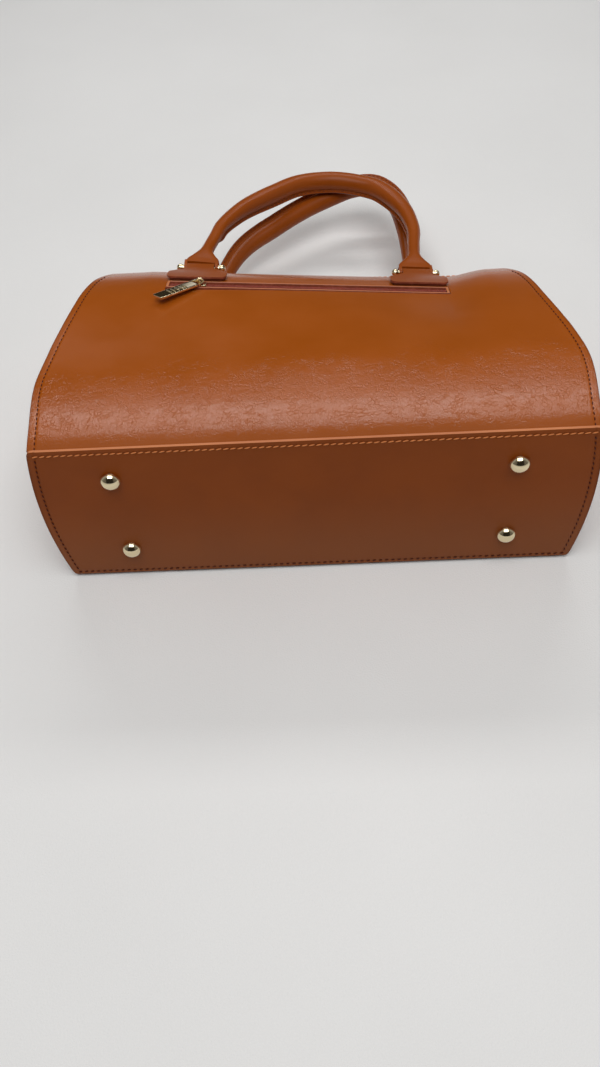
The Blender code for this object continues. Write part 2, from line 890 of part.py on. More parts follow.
def make_pouch():
    """The pocket's bag: its near side hangs from the lower tape and its far side from the upper one."""
    ring = cup_ring((POUCH_COLUMNS, 1))
    half = POCKET_LENGTH / 2
    bottom = POCKET_HEIGHT - POUCH_DEPTH
    rows = [0.0] + steps(POUCH_FOLD / POUCH_DEPTH, 1, POUCH_ROWS)
    near_top = POCKET_HEIGHT - TAPE_WIDTH
    far_top = POCKET_HEIGHT + TAPE_WIDTH

    def place(column, row):
        along, across = ring[int(column)]
        far = across > 0
        height = bottom + ((far_top if far else near_top) - bottom) * row
        lift = -(POUCH_FAR if far else POUCH_NEAR)
        if row == 0:
            lift = -(POUCH_FAR + POUCH_NEAR) / 2
        return on_back(along * half, height, lift)

    columns = list(range(len(ring)))
    mesh = mapped_sheet(columns, rows, place, closed=True)
    solidify(add_object("pocket_pouch", mesh, lining_cloth, bag), POUCH_CLOTH)


def make_pocket_welt():
    """The folded leather edge round the pocket's opening, which stands a little proud."""
    half = POCKET_LENGTH / 2 - SEAM_GAP
    half_width = POCKET_WIDTH / 2 - SEAM_GAP
    columns = rows_between([-half, -half + WELT, half - WELT, half], COLUMN_STEP)
    rows = [-half_width, -half_width + WELT, half_width - WELT, half_width]

    def opening(column, row):
        return abs(column) < half - WELT and abs(row) < half_width - WELT

    mesh = mapped_sheet(
        columns, rows, lambda x, a: on_back(x, POCKET_HEIGHT + a, WELT_LIFT), hole=opening
    )
    solidify(add_object("pocket_welt", mesh, edge_leather, bag), LEATHER + WELT_LIFT)


def zip_strip(name, place, half, low, high, lift, thickness, material):
    """A flat strip along a zip, from low to high across it."""
    columns = rows_between([-half, half], COLUMN_STEP)
    mesh = mapped_sheet(columns, [low, high], lambda x, a: place(x, a, lift))
    solidify(add_object(name, mesh, material, bag), thickness)


def make_zip(prefix, place, length, width, names, flipped):
    """Two tapes that meet at a slit, each with its own coil along its edge."""
    half = length / 2
    slit = CHAIN_SLIT / 2
    for side, name in zip((1, -1), names):
        tape = sorted((side * slit, side * width), reverse=flipped)
        coil = sorted((side * slit, side * (slit + CHAIN_WIDTH)), reverse=flipped)
        tape_lift = -LEATHER - SEAM_GAP
        zip_strip(f"{prefix}_{name}_tape", place, half, *tape, tape_lift, TAPE, tape_cloth)
        zip_strip(
            f"{prefix}_{name}_coil",
            place,
            half - SLIDER_LENGTH / 2,
            *coil,
            tape_lift + SEAM_GAP + CHAIN,
            CHAIN,
            coil_nylon,
        )


def pocket_place(x, across, lift=0.0):
    return on_back(x, POCKET_HEIGHT + across, lift)


def make_zip_tabs():
    """Leather tabs that close the gap between the panels past both ends of the top zip."""
    end = half_length(BODY_HEIGHT) - SEAM_GAP
    across = TOP_GAP / 2 - LEATHER
    for side, name in ((-1, "left"), (1, "right")):
        columns = sorted((side * end, side * (end - ZIP_TAB)))
        mesh = mapped_sheet(columns, [across, 0.0, -across], lambda x, a: on_top(x, a))
        solidify(add_object(f"top_zip_tab_{name}", mesh, leather, bag), LEATHER)


def joined(meshes):
    """One mesh that holds several."""
    shape = bmesh.new()
    for mesh in meshes:
        shape.from_mesh(mesh)
    made = bpy.data.meshes.new("joined")
    shape.to_mesh(made)
    shape.free()
    return made


def bail_outline(low, high):
    """A thick arch in the plane of the zip and the lift, its feet let into the slider."""
    outer = BAIL_LENGTH / 2
    inner = outer - BAIL
    top = high - outer
    points = [(outer, low)]
    for angle in steps(0, 180, BAIL_SIDES):
        turn = math.radians(angle)
        points.append((outer * math.cos(turn), top + outer * math.sin(turn)))
    points += [(-outer, low), (-inner, low)]
    for angle in steps(180, 0, BAIL_SIDES):
        turn = math.radians(angle)
        points.append((inner * math.cos(turn), top + inner * math.sin(turn)))
    points.append((inner, low))
    return points


def make_slider(name, frame, parent):
    """Two blades with the zip's tapes and coils between them, a rib in the slit, and a bail."""
    half = SLIDER_WIDTH / 2
    rib = SLIDER_RIB / 2
    under = -LEATHER - TAPE - 2 * SEAM_GAP
    section = [
        (-half, SLIDER_BLADE),
        (-half, 0.0),
        (-rib, 0.0),
        (-rib, under),
        (-half, under),
        (-half, under - SLIDER_BLADE),
        (half, under - SLIDER_BLADE),
        (half, under),
        (rib, under),
        (rib, 0.0),
        (half, 0.0),
        (half, SLIDER_BLADE),
    ]
    body = outline_mesh([section], SLIDER_LENGTH)
    along = Vector((1, 0, 0))
    across = Vector((0, 1, 0))
    body.transform(frame @ frame_at(Vector(), across, along))
    slider = add_object(name, body, gold, parent)
    bail = outline_mesh([bail_outline(SLIDER_BLADE / 2, SLIDER_BLADE + BAIL_HEIGHT)], BAIL)
    bail.transform(frame @ frame_at(Vector(), along, -across))
    cut(slider, add_cutter(f"{name}_bail", bail, parent), "UNION")


def puller_frame(frame, turn):
    """The puller's own frame: X from its bar to its point, Z out of the zip."""
    bar_lift = SLIDER_BLADE + 2 * SEAM_GAP + PULLER / 2
    shift = Matrix.Translation((0, 0, bar_lift))
    return frame @ shift @ Matrix.Rotation(turn, 4, "Z") @ Matrix.Rotation(PULLER_DIP, 4, "Y")


def make_puller(name, matrix, parent):
    """A plate with an eye at one end, for the bail, and a point at the other, with plain ribs."""
    start = -PULLER_BAR / 2
    half = PULLER_WIDTH / 2
    end = PULLER_LENGTH + start
    plate_outline = [
        (start, half - PULLER_CORNER),
        (start, PULLER_CORNER - half),
        (start + PULLER_CORNER, -half),
        (end - PULLER_POINT, -half),
        (end, 0.0),
        (end - PULLER_POINT, half),
        (start + PULLER_CORNER, half),
    ]
    eye_end = PULLER_BAR / 2 + PULLER_EYE
    eye_half = PULLER_EYE_WIDTH / 2
    eye = [
        (PULLER_BAR / 2, -eye_half),
        (PULLER_BAR / 2, eye_half),
        (eye_end, eye_half),
        (eye_end, -eye_half),
    ]
    mesh = outline_mesh([plate_outline, eye], PULLER)
    mesh.transform(matrix)
    puller = add_object(name, mesh, gold, parent)
    ribs = []
    first = (eye_end + end - PULLER_POINT) / 2 - (PULLER_RIBS - 1) / 2 * PULLER_RIB_SPACING
    for index in range(PULLER_RIBS):
        x = first + index * PULLER_RIB_SPACING
        wide = PULLER_RIB_WIDTH / 2
        long = PULLER_RIB_LENGTH / 2
        bar = [(x - wide, -long), (x + wide, -long), (x + wide, long), (x - wide, long)]
        rib = outline_mesh([bar], PULLER)
        rib.transform(matrix @ Matrix.Translation((0, 0, PULLER_RIB)))
        ribs.append(rib)
    cut(puller, add_cutter(f"{name}_ribs", joined(ribs), parent), "UNION")


def make_slider_and_puller(prefix, place, x, turn):
    frame = surface_frame(place, x, 0.0, 0.0)
    slide = new_empty(f"{prefix}_slide", frame.translation, bag)
    make_slider(f"{prefix}_slider", frame, slide)
    matrix = puller_frame(frame, turn)
    swing = new_empty(f"{prefix}_puller_swing", matrix.translation, slide)
    make_puller(f"{prefix}_puller", matrix, swing)


def tab_half_width(height):
    """Half a tab's width: wide on the panel, narrow in the loop, with rounded lower corners."""
    bottom = PIN_HEIGHT - TAB_REACH
    wide = TAB_PATCH_WIDTH / 2
    narrow = TAB_LOOP_WIDTH / 2
    up = height - bottom
    if up < TAB_CORNER:
        left = TAB_CORNER - up
        return wide - TAB_CORNER + math.sqrt(max(TAB_CORNER**2 - left**2, 0.0))
    return wide + (narrow - wide) * smooth((up - TAB_FLAT) / (TAB_NECK - TAB_FLAT))


def tab_rows():
    """The strap's outer face as (height, lift, half width), up its front, round the pin and back down."""
    bottom = PIN_HEIGHT - TAB_REACH
    layer = 2 * SEAM_GAP + 2 * TAB_LEATHER
    radius = PIN_RADIUS + SEAM_GAP + TAB_LEATHER
    leave = math.radians(TAB_LEAVE)
    rows = [(bottom + share * TAB_CORNER, layer) for share in TAB_CORNER_SHARES]
    rows.append((bottom + TAB_FLAT, layer))
    top_height = PIN_HEIGHT + radius * math.cos(leave)
    top_lift = PIN_LIFT + radius * math.sin(leave)
    for share, rise in TAB_RISE_SHARES[1:-1]:
        height = bottom + TAB_FLAT + share * (top_height - bottom - TAB_FLAT)
        rows.append((height, layer + rise * (top_lift - layer)))
    for angle in steps(TAB_LEAVE, -90, TAB_ROUND_STEPS):
        turn = math.radians(angle)
        rows.append((PIN_HEIGHT + radius * math.cos(turn), PIN_LIFT + radius * math.sin(turn)))
    found = [(height, lift, tab_half_width(height)) for height, lift in rows]
    for height in steps(PIN_HEIGHT, bottom + TAB_TUCK, TAB_UNDER_STEPS)[1:]:
        found.append((height, SEAM_GAP, TAB_LOOP_WIDTH / 2))
    return found


def make_tab(name, place, x, columns):
    rows = tab_rows()

    def spot(column, row):
        height, lift, half = rows[int(row)]
        return place(x + column * half, height, lift)

    mesh = mapped_sheet(columns, list(range(len(rows))), spot)
    solidify(add_object(name, mesh, leather, bag), TAB_LEATHER)


def pin_line(place):
    """The middle of a panel's two pins, their common direction and half the distance between them."""
    left, right = (place(side * TAB_SPACING / 2, PIN_HEIGHT, PIN_LIFT) for side in (-1, 1))
    return (left + right) / 2, (right - left).normalized(), (right - left).length / 2


def pin_profile():
    """Half a pin from its ball down to its middle."""
    centre = BALL_SPACING / 2
    meet = math.degrees(math.acos(COLLAR_RADIUS / BALL_RADIUS))
    upper = [(0.0, centre + BALL_RADIUS)]
    upper += arc(centre, BALL_RADIUS, 90, -meet, BALL_STEPS)[1:]
    return upper + [(COLLAR_RADIUS, COLLAR_START), (PIN_RADIUS, COLLAR_START)]


def make_pin(name, centre, axis, parent):
    half = pin_profile()
    whole = half + [(radius, -height) for radius, height in half[::-1]]
    side = axis.cross(Vector((0, 1, 0)))
    turned(name, whole, HOLE_SIDES, gold, parent, frame_at(centre, side, axis))


def handle_course(place, shares, drop, tilt):
    """Places along a handle's middle line, in the plane of its pins tilted from level."""
    middle, axis, half = pin_line(place)
    level = Vector((0, math.cos(tilt), math.sin(tilt)))
    reach = (level - axis * level.dot(axis)).normalized()
    return [middle + axis * (x * half) + reach * (far * drop) for x, far in shares], reach


def course_reader(points):
    """A function that gives the place and the direction at a distance along the points."""
    lengths = [0.0]
    for before, after in zip(points, points[1:]):
        lengths.append(lengths[-1] + (after - before).length)
    tracks = [[(length, spot[axis]) for length, spot in zip(lengths, points)] for axis in range(3)]

    def read(distance):
        here = Vector([between(distance, track) for track in tracks])
        ahead = Vector([between(distance + REACH, track) for track in tracks])
        behind = Vector([between(distance - REACH, track) for track in tracks])
        return here, (ahead - behind).normalized()

    return read, lengths[-1]


def handle_size(distance, length):
    """Half the width, half the thickness and the squareness of a handle's section."""
    near = min(distance, length - distance)
    flare = between(min((near - FORK_DEPTH) / (FLARE_LENGTH - FORK_DEPTH), 1.0), FLARE_SHARES)
    tube = smooth((near - NECK_END) / (TUBE_START - NECK_END))
    width = NECK_WIDTH + (FLARE_WIDTH - NECK_WIDTH) * flare + (TUBE - NECK_WIDTH) * tube
    thick = NECK_THICKNESS + (FLARE_THICKNESS - NECK_THICKNESS) * flare + (TUBE - NECK_THICKNESS) * tube
    return width / 2, thick / 2, 2 + (FLARE_SQUARENESS - 2) * flare


def section_ring(shape, read, distance, normal, size, points):
    """A closed ring of corners round the course, flattened and squared by its size."""
    here, ahead = read(distance)
    side = ahead.cross(normal).normalized()
    half_width, half_thick, squareness = size
    ring = []
    for index in range(points):
        turn = 2 * math.pi * index / points
        across = math.copysign(abs(math.cos(turn)) ** (2 / squareness), math.cos(turn))
        out = math.copysign(abs(math.sin(turn)) ** (2 / squareness), math.sin(turn))
        ring.append(shape.verts.new(here + side * across * half_width + normal * out * half_thick))
    return ring


def bridge(shape, first, second):
    for index, corner in enumerate(first):
        after = (index + 1) % len(first)
        shape.faces.new((corner, first[after], second[after], second[index]))


def stations(length):
    """Distances along a handle, close together at its flares."""
    near = [FORK_DEPTH * share for share in STATION_SHARES]
    near += rows_between([FLARE_LENGTH, length / 2], TURN_STEP)
    return near + [length - distance for distance in near[-2::-1]]


def make_handle_leather(name, read, length, normal, parent):
    """A rolled leather tube, wide and flat at its two forks, with its bore left open into them."""
    shape = bmesh.new()
    outer = []
    inner = []
    for distance in stations(length):
        half_width, half_thick, squareness = handle_size(distance, length)
        bore_width = min(half_width - HANDLE_WALL, HANDLE_BORE_WIDTH / 2)
        bore = (bore_width, half_thick - HANDLE_WALL, squareness)
        size = (half_width, half_thick, squareness)
        outer.append(section_ring(shape, read, distance, normal, size, RING_POINTS))
        inner.append(section_ring(shape, read, distance, normal, bore, RING_POINTS))
    for rings in (outer, inner):
        for before, after in zip(rings, rings[1:]):
            bridge(shape, before, after)
    bridge(shape, outer[0], inner[0])
    bridge(shape, outer[-1], inner[-1])
    return add_object(name, local_mesh(shape, Matrix()), leather, parent)


def make_handle_core(name, read, length, normal, parent):
    shape = bmesh.new()
    rings = []
    for distance in stations(length):
        if min(distance, length - distance) < CORE_START:
            continue
        half_width, half_thick, _ = handle_size(distance, length)
        clear = HANDLE_WALL + SEAM_GAP
        size = (half_width - clear, half_thick - clear, 2)
        rings.append(section_ring(shape, read, distance, normal, size, RING_POINTS))
    for before, after in zip(rings, rings[1:]):
        bridge(shape, before, after)
    shape.faces.new(rings[0])
    shape.faces.new(rings[-1])
    add_object(name, local_mesh(shape, Matrix()), rope, parent)


def ear_meshes(centre, axis, reach):
    """The two ears of a fork, each with a hole for the pin."""
    top = FORK_DEPTH + EAR_ROOT
    outline = [(EAR_RADIUS, top), (-EAR_RADIUS, top)]
    hole = []
    for angle in steps(180, 360, EAR_STEPS):
        turn = math.radians(angle)
        outline.append((EAR_RADIUS * math.cos(turn), EAR_RADIUS * math.sin(turn)))
    for angle in steps(0, 360, HOLE_SIDES)[:-1]:
        turn = math.radians(angle)
        radius = PIN_RADIUS + SEAM_GAP
        hole.append((radius * math.cos(turn), radius * math.sin(turn)))
    place = (TAB_LOOP_WIDTH + EAR) / 2 + SEAM_GAP
    found = []
    for side in (-1, 1):
        mesh = outline_mesh([outline, hole], EAR)
        mesh.transform(frame_at(centre + axis * side * place, reach.cross(axis), axis))
        found.append(mesh)
    return found


def make_handle(face, place, shares, drop, tilt):
    middle, axis, half = pin_line(place)
    points, reach = handle_course(place, shares, drop, tilt)
    swing = new_empty(f"{face}_handle_swing", middle, bag)
    read, length = course_reader(points)
    normal = axis.cross(reach)
    handle = make_handle_leather(f"{face}_handle", read, length, normal, swing)
    make_handle_core(f"{face}_handle_core", read, length, normal, swing)
    ears = []
    for side, end in ((-1, "left"), (1, "right")):
        centre = middle + axis * side * half
        ears += ear_meshes(centre, axis, reach)
        make_pin(f"{face}_pin_{end}", centre, axis, swing)
    cut(handle, add_cutter(f"{face}_handle_ears", joined(ears), swing), "UNION")


def make_tabs():
    columns = steps(-1, 1, TAB_COLUMNS)
    for face, place, across in (("back", on_back, columns), ("front", on_front, columns[::-1])):
        for side, end in ((-1, "left"), (1, "right")):
            make_tab(f"{face}_tab_{end}", place, side * TAB_SPACING / 2, across)


def make_handles():
    make_handle("back", on_back, BACK_HANDLE_SHARES, BACK_HANDLE_DROP, BACK_HANDLE_TILT)
    make_handle("front", on_front, FRONT_HANDLE_SHARES, FRONT_HANDLE_DROP, FRONT_HANDLE_TILT)


def set_down():
    """Moves the bag so that it stands over the origin with its lowest point at zero."""
    bpy.context.view_layer.update()
    graph = bpy.context.evaluated_depsgraph_get()
    spots = []
    for item in bag_collection.objects:
        if item.type == "MESH":
            solid = item.evaluated_get(graph)
            spots += [solid.matrix_world @ corner.co for corner in solid.data.vertices]
    low = [min(spot[axis] for spot in spots) for axis in range(3)]
    high = [max(spot[axis] for spot in spots) for axis in range(3)]
    bag.location = (-(low[0] + high[0]) / 2, -(low[1] + high[1]) / 2, -low[2])


clear_scene()
bag_collection = new_collection("structured_handbag")
cutter_collection = new_collection("cutters")
cutter_collection.hide_render = True
leather = make_smooth_leather()
base_leather = make_base_leather()
edge_leather = make_edge_leather()
gold = make_pale_gold()
steel = make_plain_steel()
tape_cloth = make_zip_tape_cloth()
coil_nylon = make_coil_nylon()
lining_cloth = make_lining_cloth()
fibreboard = make_fibreboard()
rope = make_core_rope()
bag = new_empty("bag")

make_base()
make_feet()
make_back_panel()
make_front_panel()
make_end_panel(-1, "left_end_panel")
make_end_panel(1, "right_end_panel")
make_lining()
make_pocket_welt()
make_zip("pocket", pocket_place, POCKET_ZIP_LENGTH, TAPE_WIDTH, ("upper", "lower"), False)
make_pouch()
make_zip("top", on_top, TOP_ZIP_LENGTH, TOP_TAPE_WIDTH, ("back", "front"), True)
make_zip_tabs()
make_slider_and_puller("pocket", pocket_place, POCKET_SLIDER_X, math.pi + POCKET_PULLER_TURN)
make_slider_and_puller("top", on_top, TOP_SLIDER_X, 0.0)
make_tabs()
make_handles()
set_down()
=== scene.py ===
"""Looks of the structured handbag: fine leather panels, seams, zips, hinged handles and their fittings.

The handbag lies on its front panel, base towards -Y and top towards +Y. The body is measured in
its own directions: x along the bag, height from the base up to the top zip, and depth from the
front edge of the base to its back edge. Lift is the distance outwards from the leather's outer
face. Every length is in metres.
"""

import json
import math

import bmesh
import bpy
from mathutils import Matrix, Vector, noise

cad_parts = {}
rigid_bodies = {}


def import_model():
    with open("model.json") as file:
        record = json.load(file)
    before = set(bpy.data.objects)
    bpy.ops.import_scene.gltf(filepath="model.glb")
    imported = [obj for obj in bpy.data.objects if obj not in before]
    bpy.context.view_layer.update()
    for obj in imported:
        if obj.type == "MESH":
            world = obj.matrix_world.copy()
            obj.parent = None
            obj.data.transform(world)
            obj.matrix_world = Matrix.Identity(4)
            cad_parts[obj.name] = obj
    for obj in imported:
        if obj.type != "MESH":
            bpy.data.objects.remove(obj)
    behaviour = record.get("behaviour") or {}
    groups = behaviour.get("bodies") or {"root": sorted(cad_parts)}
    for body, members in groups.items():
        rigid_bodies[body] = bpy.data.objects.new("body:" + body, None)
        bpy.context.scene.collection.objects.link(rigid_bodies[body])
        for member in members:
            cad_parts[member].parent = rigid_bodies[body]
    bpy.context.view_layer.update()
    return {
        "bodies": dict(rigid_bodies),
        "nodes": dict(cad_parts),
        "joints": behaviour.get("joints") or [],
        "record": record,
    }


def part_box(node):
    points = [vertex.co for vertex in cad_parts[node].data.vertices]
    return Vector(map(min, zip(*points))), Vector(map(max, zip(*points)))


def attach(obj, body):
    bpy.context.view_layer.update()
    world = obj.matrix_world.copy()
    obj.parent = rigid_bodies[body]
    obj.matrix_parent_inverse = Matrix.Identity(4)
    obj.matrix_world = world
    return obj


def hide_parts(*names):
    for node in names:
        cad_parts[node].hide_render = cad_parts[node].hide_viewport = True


MM = 0.001
MERGE = 0.01 * MM
REACH = 0.5 * MM
OVERRUN = 1 * MM

# Body
BASE_LENGTH = 340 * MM
BASE_DEPTH = 113 * MM
BODY_HEIGHT = 240 * MM
TOP_GAP = 26 * MM
BASE_RISE = 4 * MM
LEAN = math.radians(5)
LEATHER = 2 * MM
SEAM_GAP = 0.3 * MM
BASE_LIP = 1.6 * MM
BASE_CORNER = 3 * MM
FRONT_ROLL = 32 * MM
FRONT_FLAT_END = 148 * MM

# Depth past the zip's edge at shares of the height, as shares of the base's depth past it
BACK_PROFILE_SHARES = (
    (0.0, 1.0), (0.06, 1.045), (0.16, 1.065), (0.30, 1.026), (0.45, 0.942), (0.60, 0.838), (0.72, 0.721),
    (0.82, 0.584), (0.88, 0.461), (0.93, 0.318), (0.97, 0.143), (1.0, 0.0),
)
# Half length at shares of the height, as shares of half the base length
END_SHARES = (
    (0.0, 1.0), (0.08, 1.012), (0.27, 1.042), (0.42, 1.03), (0.52, 1.012), (0.65, 0.987), (0.75, 0.97),
    (0.83, 0.948), (0.9, 0.91), (0.955, 0.87), (1.0, 0.82),
)
# Rise of the front panel's shoulder off the table along its run to the zip, both as shares
SHOULDER_SHARES = (
    (0.0, 0.0), (0.2, 0.025), (0.42, 0.125), (0.62, 0.30), (0.8, 0.55), (0.92, 0.79), (1.0, 1.0)
)

# Sag of the back panel's top, which is higher at the left and pressed in at the right handle tab
TWIST_SLOPE = 0.085
TWIST_LEFT = 120 * MM
TWIST_RIGHT = 102 * MM
RIGHT_BUMP = -2.5 * MM
RIGHT_BUMP_START = 140 * MM
ZIP_TWIST_SLOPE = 0.04
TWIST_START_SHARE = 0.30
TWIST_FULL_SHARE = 0.72
ZIP_BLEND_SHARE = 0.945

# End panels, sewn to the body with their edges out
FLANGE = 6 * MM
END_DOME = 5 * MM
END_BOW = 5.5 * MM
END_BOW_TOP = 150 * MM
END_CORNER = 8 * MM
BEND = 1.5 * MM

# Base board, feet and their washers
BOARD = 2.4 * MM
FOOT_SPACING_X = 249 * MM
FOOT_SPACING_DEPTH = 65 * MM
FOOT_RADIUS = 6.2 * MM
FOOT_HEIGHT = 6 * MM
FOOT_RIM = 0.8 * MM
FOOT_STEM_RADIUS = 1.5 * MM
FOOT_GAP = 0.05 * MM
WASHER = 1 * MM

# Lining
LINING = 0.8 * MM
LINING_DROP = 8 * MM
LINING_FLOOR = 6.6 * MM
LINING_TOP = 226 * MM
LINING_LEAD = 8 * MM
LINING_END_GAP = 4.2 * MM

# Handle tabs, straps folded round the pins
TAB_SPACING = 167 * MM
TAB_LEATHER = 1.5 * MM
TAB_LOOP_WIDTH = 21 * MM
TAB_PATCH_WIDTH = 44 * MM
TAB_REACH = 31 * MM
TAB_CORNER = 5 * MM
TAB_FLAT = 12 * MM
TAB_NECK = 24 * MM
TAB_LEAVE = 110
TAB_RISE_SHARES = ((0.0, 0.0), (0.3, 0.04), (0.6, 0.30), (0.85, 0.72), (1.0, 1.0))

# Pins
PIN_DROP = 19 * MM
PIN_HEIGHT = BODY_HEIGHT - PIN_DROP
PIN_RADIUS = 1.5 * MM
PIN_LIFT = 2 * SEAM_GAP + TAB_LEATHER + PIN_RADIUS
BALL_SPACING = 32 * MM
BALL_RADIUS = 2.9 * MM
BALL_STEPS = 5
COLLAR_RADIUS = 2.3 * MM
COLLAR_START = 13.3 * MM

# Pocket in the back panel
POCKET_TO_TABS = 7 * MM
POCKET_HEIGHT = PIN_HEIGHT - TAB_REACH - POCKET_TO_TABS
POCKET_LENGTH = 209 * MM
POCKET_WIDTH = 13 * MM
WELT = 2 * MM
WELT_LIFT = 0.6 * MM
POUCH_DEPTH = 120 * MM
POUCH_CLOTH = 0.5 * MM
POUCH_NEAR = 4.4 * MM
POUCH_FAR = 6.4 * MM
POUCH_FOLD = 2 * MM

# Zips
TAPE = 0.6 * MM
TAPE_WIDTH = 12 * MM
TOP_TAPE_WIDTH = 11.3 * MM
CHAIN_SLIT = 1.2 * MM
POCKET_ZIP_INSET = 3 * MM
POCKET_ZIP_LENGTH = POCKET_LENGTH - 2 * POCKET_ZIP_INSET
TOP_ZIP_LENGTH = 260 * MM
SLIDER_LENGTH = 10 * MM
SLIDER_WIDTH = 7.4 * MM
SLIDER_BLADE = 1 * MM
SLIDER_RIB = 0.6 * MM
SLIDER_ROUND = 0.3 * MM
SLIDER_LIP = 1.6 * MM
SLIDER_LIP_LIFT = -0.7 * MM
SLIDER_LIP_SHARES = ((0.12, 0.37), (0.4, 0.45), (0.4, 0.486), (0.12, 0.4144))
BAIL = 1.2 * MM
BAIL_HEIGHT = 4.4 * MM
BAIL_LENGTH = 7 * MM
PULLER_LENGTH = 42 * MM
PULLER_WIDTH = 9.5 * MM
PULLER = 1.6 * MM
PULLER_EYE = 5 * MM
PULLER_EYE_WIDTH = 7 * MM
PULLER_EYE_CORNER = 1 * MM
PULLER_BEVEL = 0.25 * MM
PULLER_RIB_BEVEL = 0.2 * MM
PULLER_BAR = 1.3 * MM
PULLER_POINT = 1.5 * MM
PULLER_CORNER = 1.2 * MM
PULLER_RIBS = 5
PULLER_RIB = 0.4 * MM
PULLER_RIB_SPACING = 3.6 * MM
PULLER_RIB_LENGTH = 5.4 * MM
PULLER_RIB_WIDTH = 1.1 * MM
POCKET_SLIDER_REST = 21.5 * MM
POCKET_SLIDER_X = POCKET_SLIDER_REST - POCKET_ZIP_LENGTH / 2
TOP_SLIDER_REST = 12 * MM
TOP_SLIDER_X = TOP_SLIDER_REST - TOP_ZIP_LENGTH / 2
POCKET_PULLER_TURN = math.radians(48)
PULLER_DIP = math.radians(1.5)
ZIP_TAB = 12 * MM

# Handles
EAR = 2.2 * MM
EAR_RADIUS = 3.2 * MM
EAR_ROOT = 1.5 * MM
FORK_DEPTH = 5.4 * MM
FLARE_WIDTH = 26.6 * MM
FLARE_THICKNESS = 6.4 * MM
FLARE_LENGTH = 27 * MM
FLARE_SHARES = ((0.0, 1.0), (0.2, 0.9), (0.45, 0.5), (0.75, 0.13), (1.0, 0.0))
FLARE_SQUARENESS = 5
NECK_WIDTH = 10 * MM
NECK_THICKNESS = 9 * MM
NECK_END = 40 * MM
TUBE = 15.5 * MM
TUBE_START = 140 * MM
HANDLE_WALL = 1.9 * MM
HANDLE_BORE_WIDTH = 17 * MM
CORE_START = 34 * MM
BACK_HANDLE_DROP = 151 * MM
FRONT_HANDLE_DROP = 171 * MM
BACK_HANDLE_TILT = math.radians(-6)
FRONT_HANDLE_TILT = math.radians(9.5)
# Course of each handle: place along the pins as a share of half their spacing, reach as a share of the drop
BACK_HANDLE_SHARES = (
    (-1.0, 0.0), (-0.97, 0.15), (-0.91, 0.30), (-0.84, 0.45), (-0.645, 0.64), (-0.38, 0.80),
    (-0.09, 0.945), (0.23, 1.0), (0.49, 0.985), (0.765, 0.91), (0.98, 0.70), (1.055, 0.47), (1.03, 0.28),
    (1.01, 0.14), (1.0, 0.0),
)
FRONT_HANDLE_SHARES = (
    (-1.0, 0.0), (-0.98, 0.13), (-0.94, 0.28), (-0.85, 0.44), (-0.66, 0.60), (-0.34, 0.735),
    (-0.04, 0.845), (0.26, 0.93), (0.52, 0.985), (0.76, 0.98), (0.95, 0.86), (1.03, 0.66), (1.04, 0.42),
    (1.02, 0.17), (1.0, 0.0),
)

# Fine meshes
SHARP = math.radians(50)
CAST_SHARP = math.radians(40)
PANEL_STEP = 2.2 * MM
CREASED_STEP = 1.6 * MM
CREASED_TOP = 70 * MM
EDGE_STEP = 0.7 * MM
EDGE_BAND = 8 * MM
ROUND_EDGE = 0.55 * MM
FINE_SIDES = 48
FOOT_FULLNESS = 0.3 * MM

# Seams
SEAM_INSET = 4.8 * MM
LIP_SEAM_INSET = 3.7 * MM
BASE_SEAM_INSET = 2.6 * MM
TOP_SEAM_INSET = 3.2 * MM
SEAM_TOP = 204 * MM
SEAM_FADE = 14 * MM
GROOVE = 0.22 * MM
GROOVE_HALF = 1.1 * MM
PITCH = 4.2 * MM
THREAD = 0.8 * MM
STITCH = 3.2 * MM
LIP_THREAD = 0.95 * MM
LIP_STITCH = 3.7 * MM
SIDE_STITCH = 2.6 * MM
LIP_SHOWN = 1.3 * MM
LIP_UNEVEN = 0.1 * MM
STRAP_RECESS = 1.5 * MM
EDGE_TONE = 4.0
EDGE_TONE_REACH = 2.4 * MM
RUN_STEP = 1.5 * MM
SEAM_TILT = math.radians(14)

# Rolled seams of the handles
FIN_START = 47 * MM
FIN_REACH = {"back": 2.5 * MM, "front": 3.6 * MM}
FIN = 2.6 * MM
FIN_ROOT = 1.6 * MM
FIN_SEAM_INSET = 1.5 * MM
FIN_EDGE_FACES = (3, 4, 5)
FIN_UNEVEN = 0.25 * MM
FIN_ROUND = 0.5 * MM
FIN_THREAD_LIFT = 0.06 * MM
HANDLE_UNEVEN = 0.12 * MM
HANDLE_SHARP = math.radians(60)
FIN_TURN = {"back": math.radians(35), "front": math.radians(55)}
HANDLE_STEP = 3 * MM
HANDLE_RING = 36
ROPE_TWIST = 22 * MM
ROPE_SIDES = 24
ROPE_GROOVE = 0.16

# Zip teeth
TOOTH_PITCH = 1.05 * MM
TOOTH_WIRE = 0.3 * MM
TOOTH_WIDTH = 2.4 * MM
TOOTH_HEIGHT = 1.5 * MM
TOOTH_SLANT = 0.12
TAPE_SWELL = 0.35 * MM
TAPE_SWELL_HALF = 4.5 * MM

# Creases of the panels, painted shade on the back panel above the base's lip, and a painted sheen on the
# base that grows paler towards its lower edge, where it reflects the pale table
CREASE_PATCHES = 22.0
CREASE_LOW = 3 * MM
CREASE_START = 10 * MM
CREASE_FADE = 34 * MM
CREASE_TOP = 62 * MM
CREASE_UNEVEN = 26 * MM
CREASE_SLOPE = 0.072
FOLD_RELIEF = 0.045 * MM
FINE_RELIEF = 0.02 * MM
FRONT_CREASE = 0.25
FRONT_CREASE_END = 60 * MM
BASE_CREASE = 0.12
# Painted shade on the back panel just above the base's lip: its strength and how high it reaches
LIP_SHADE_STRENGTH = 2.6
LIP_SHADE_HEIGHT = 24 * MM
BASE_SHEEN = 0.5
BASE_SHEEN_DEPTH = 80 * MM
PAINTED_SHEEN_COLOUR = (0.26, 0.095, 0.036)

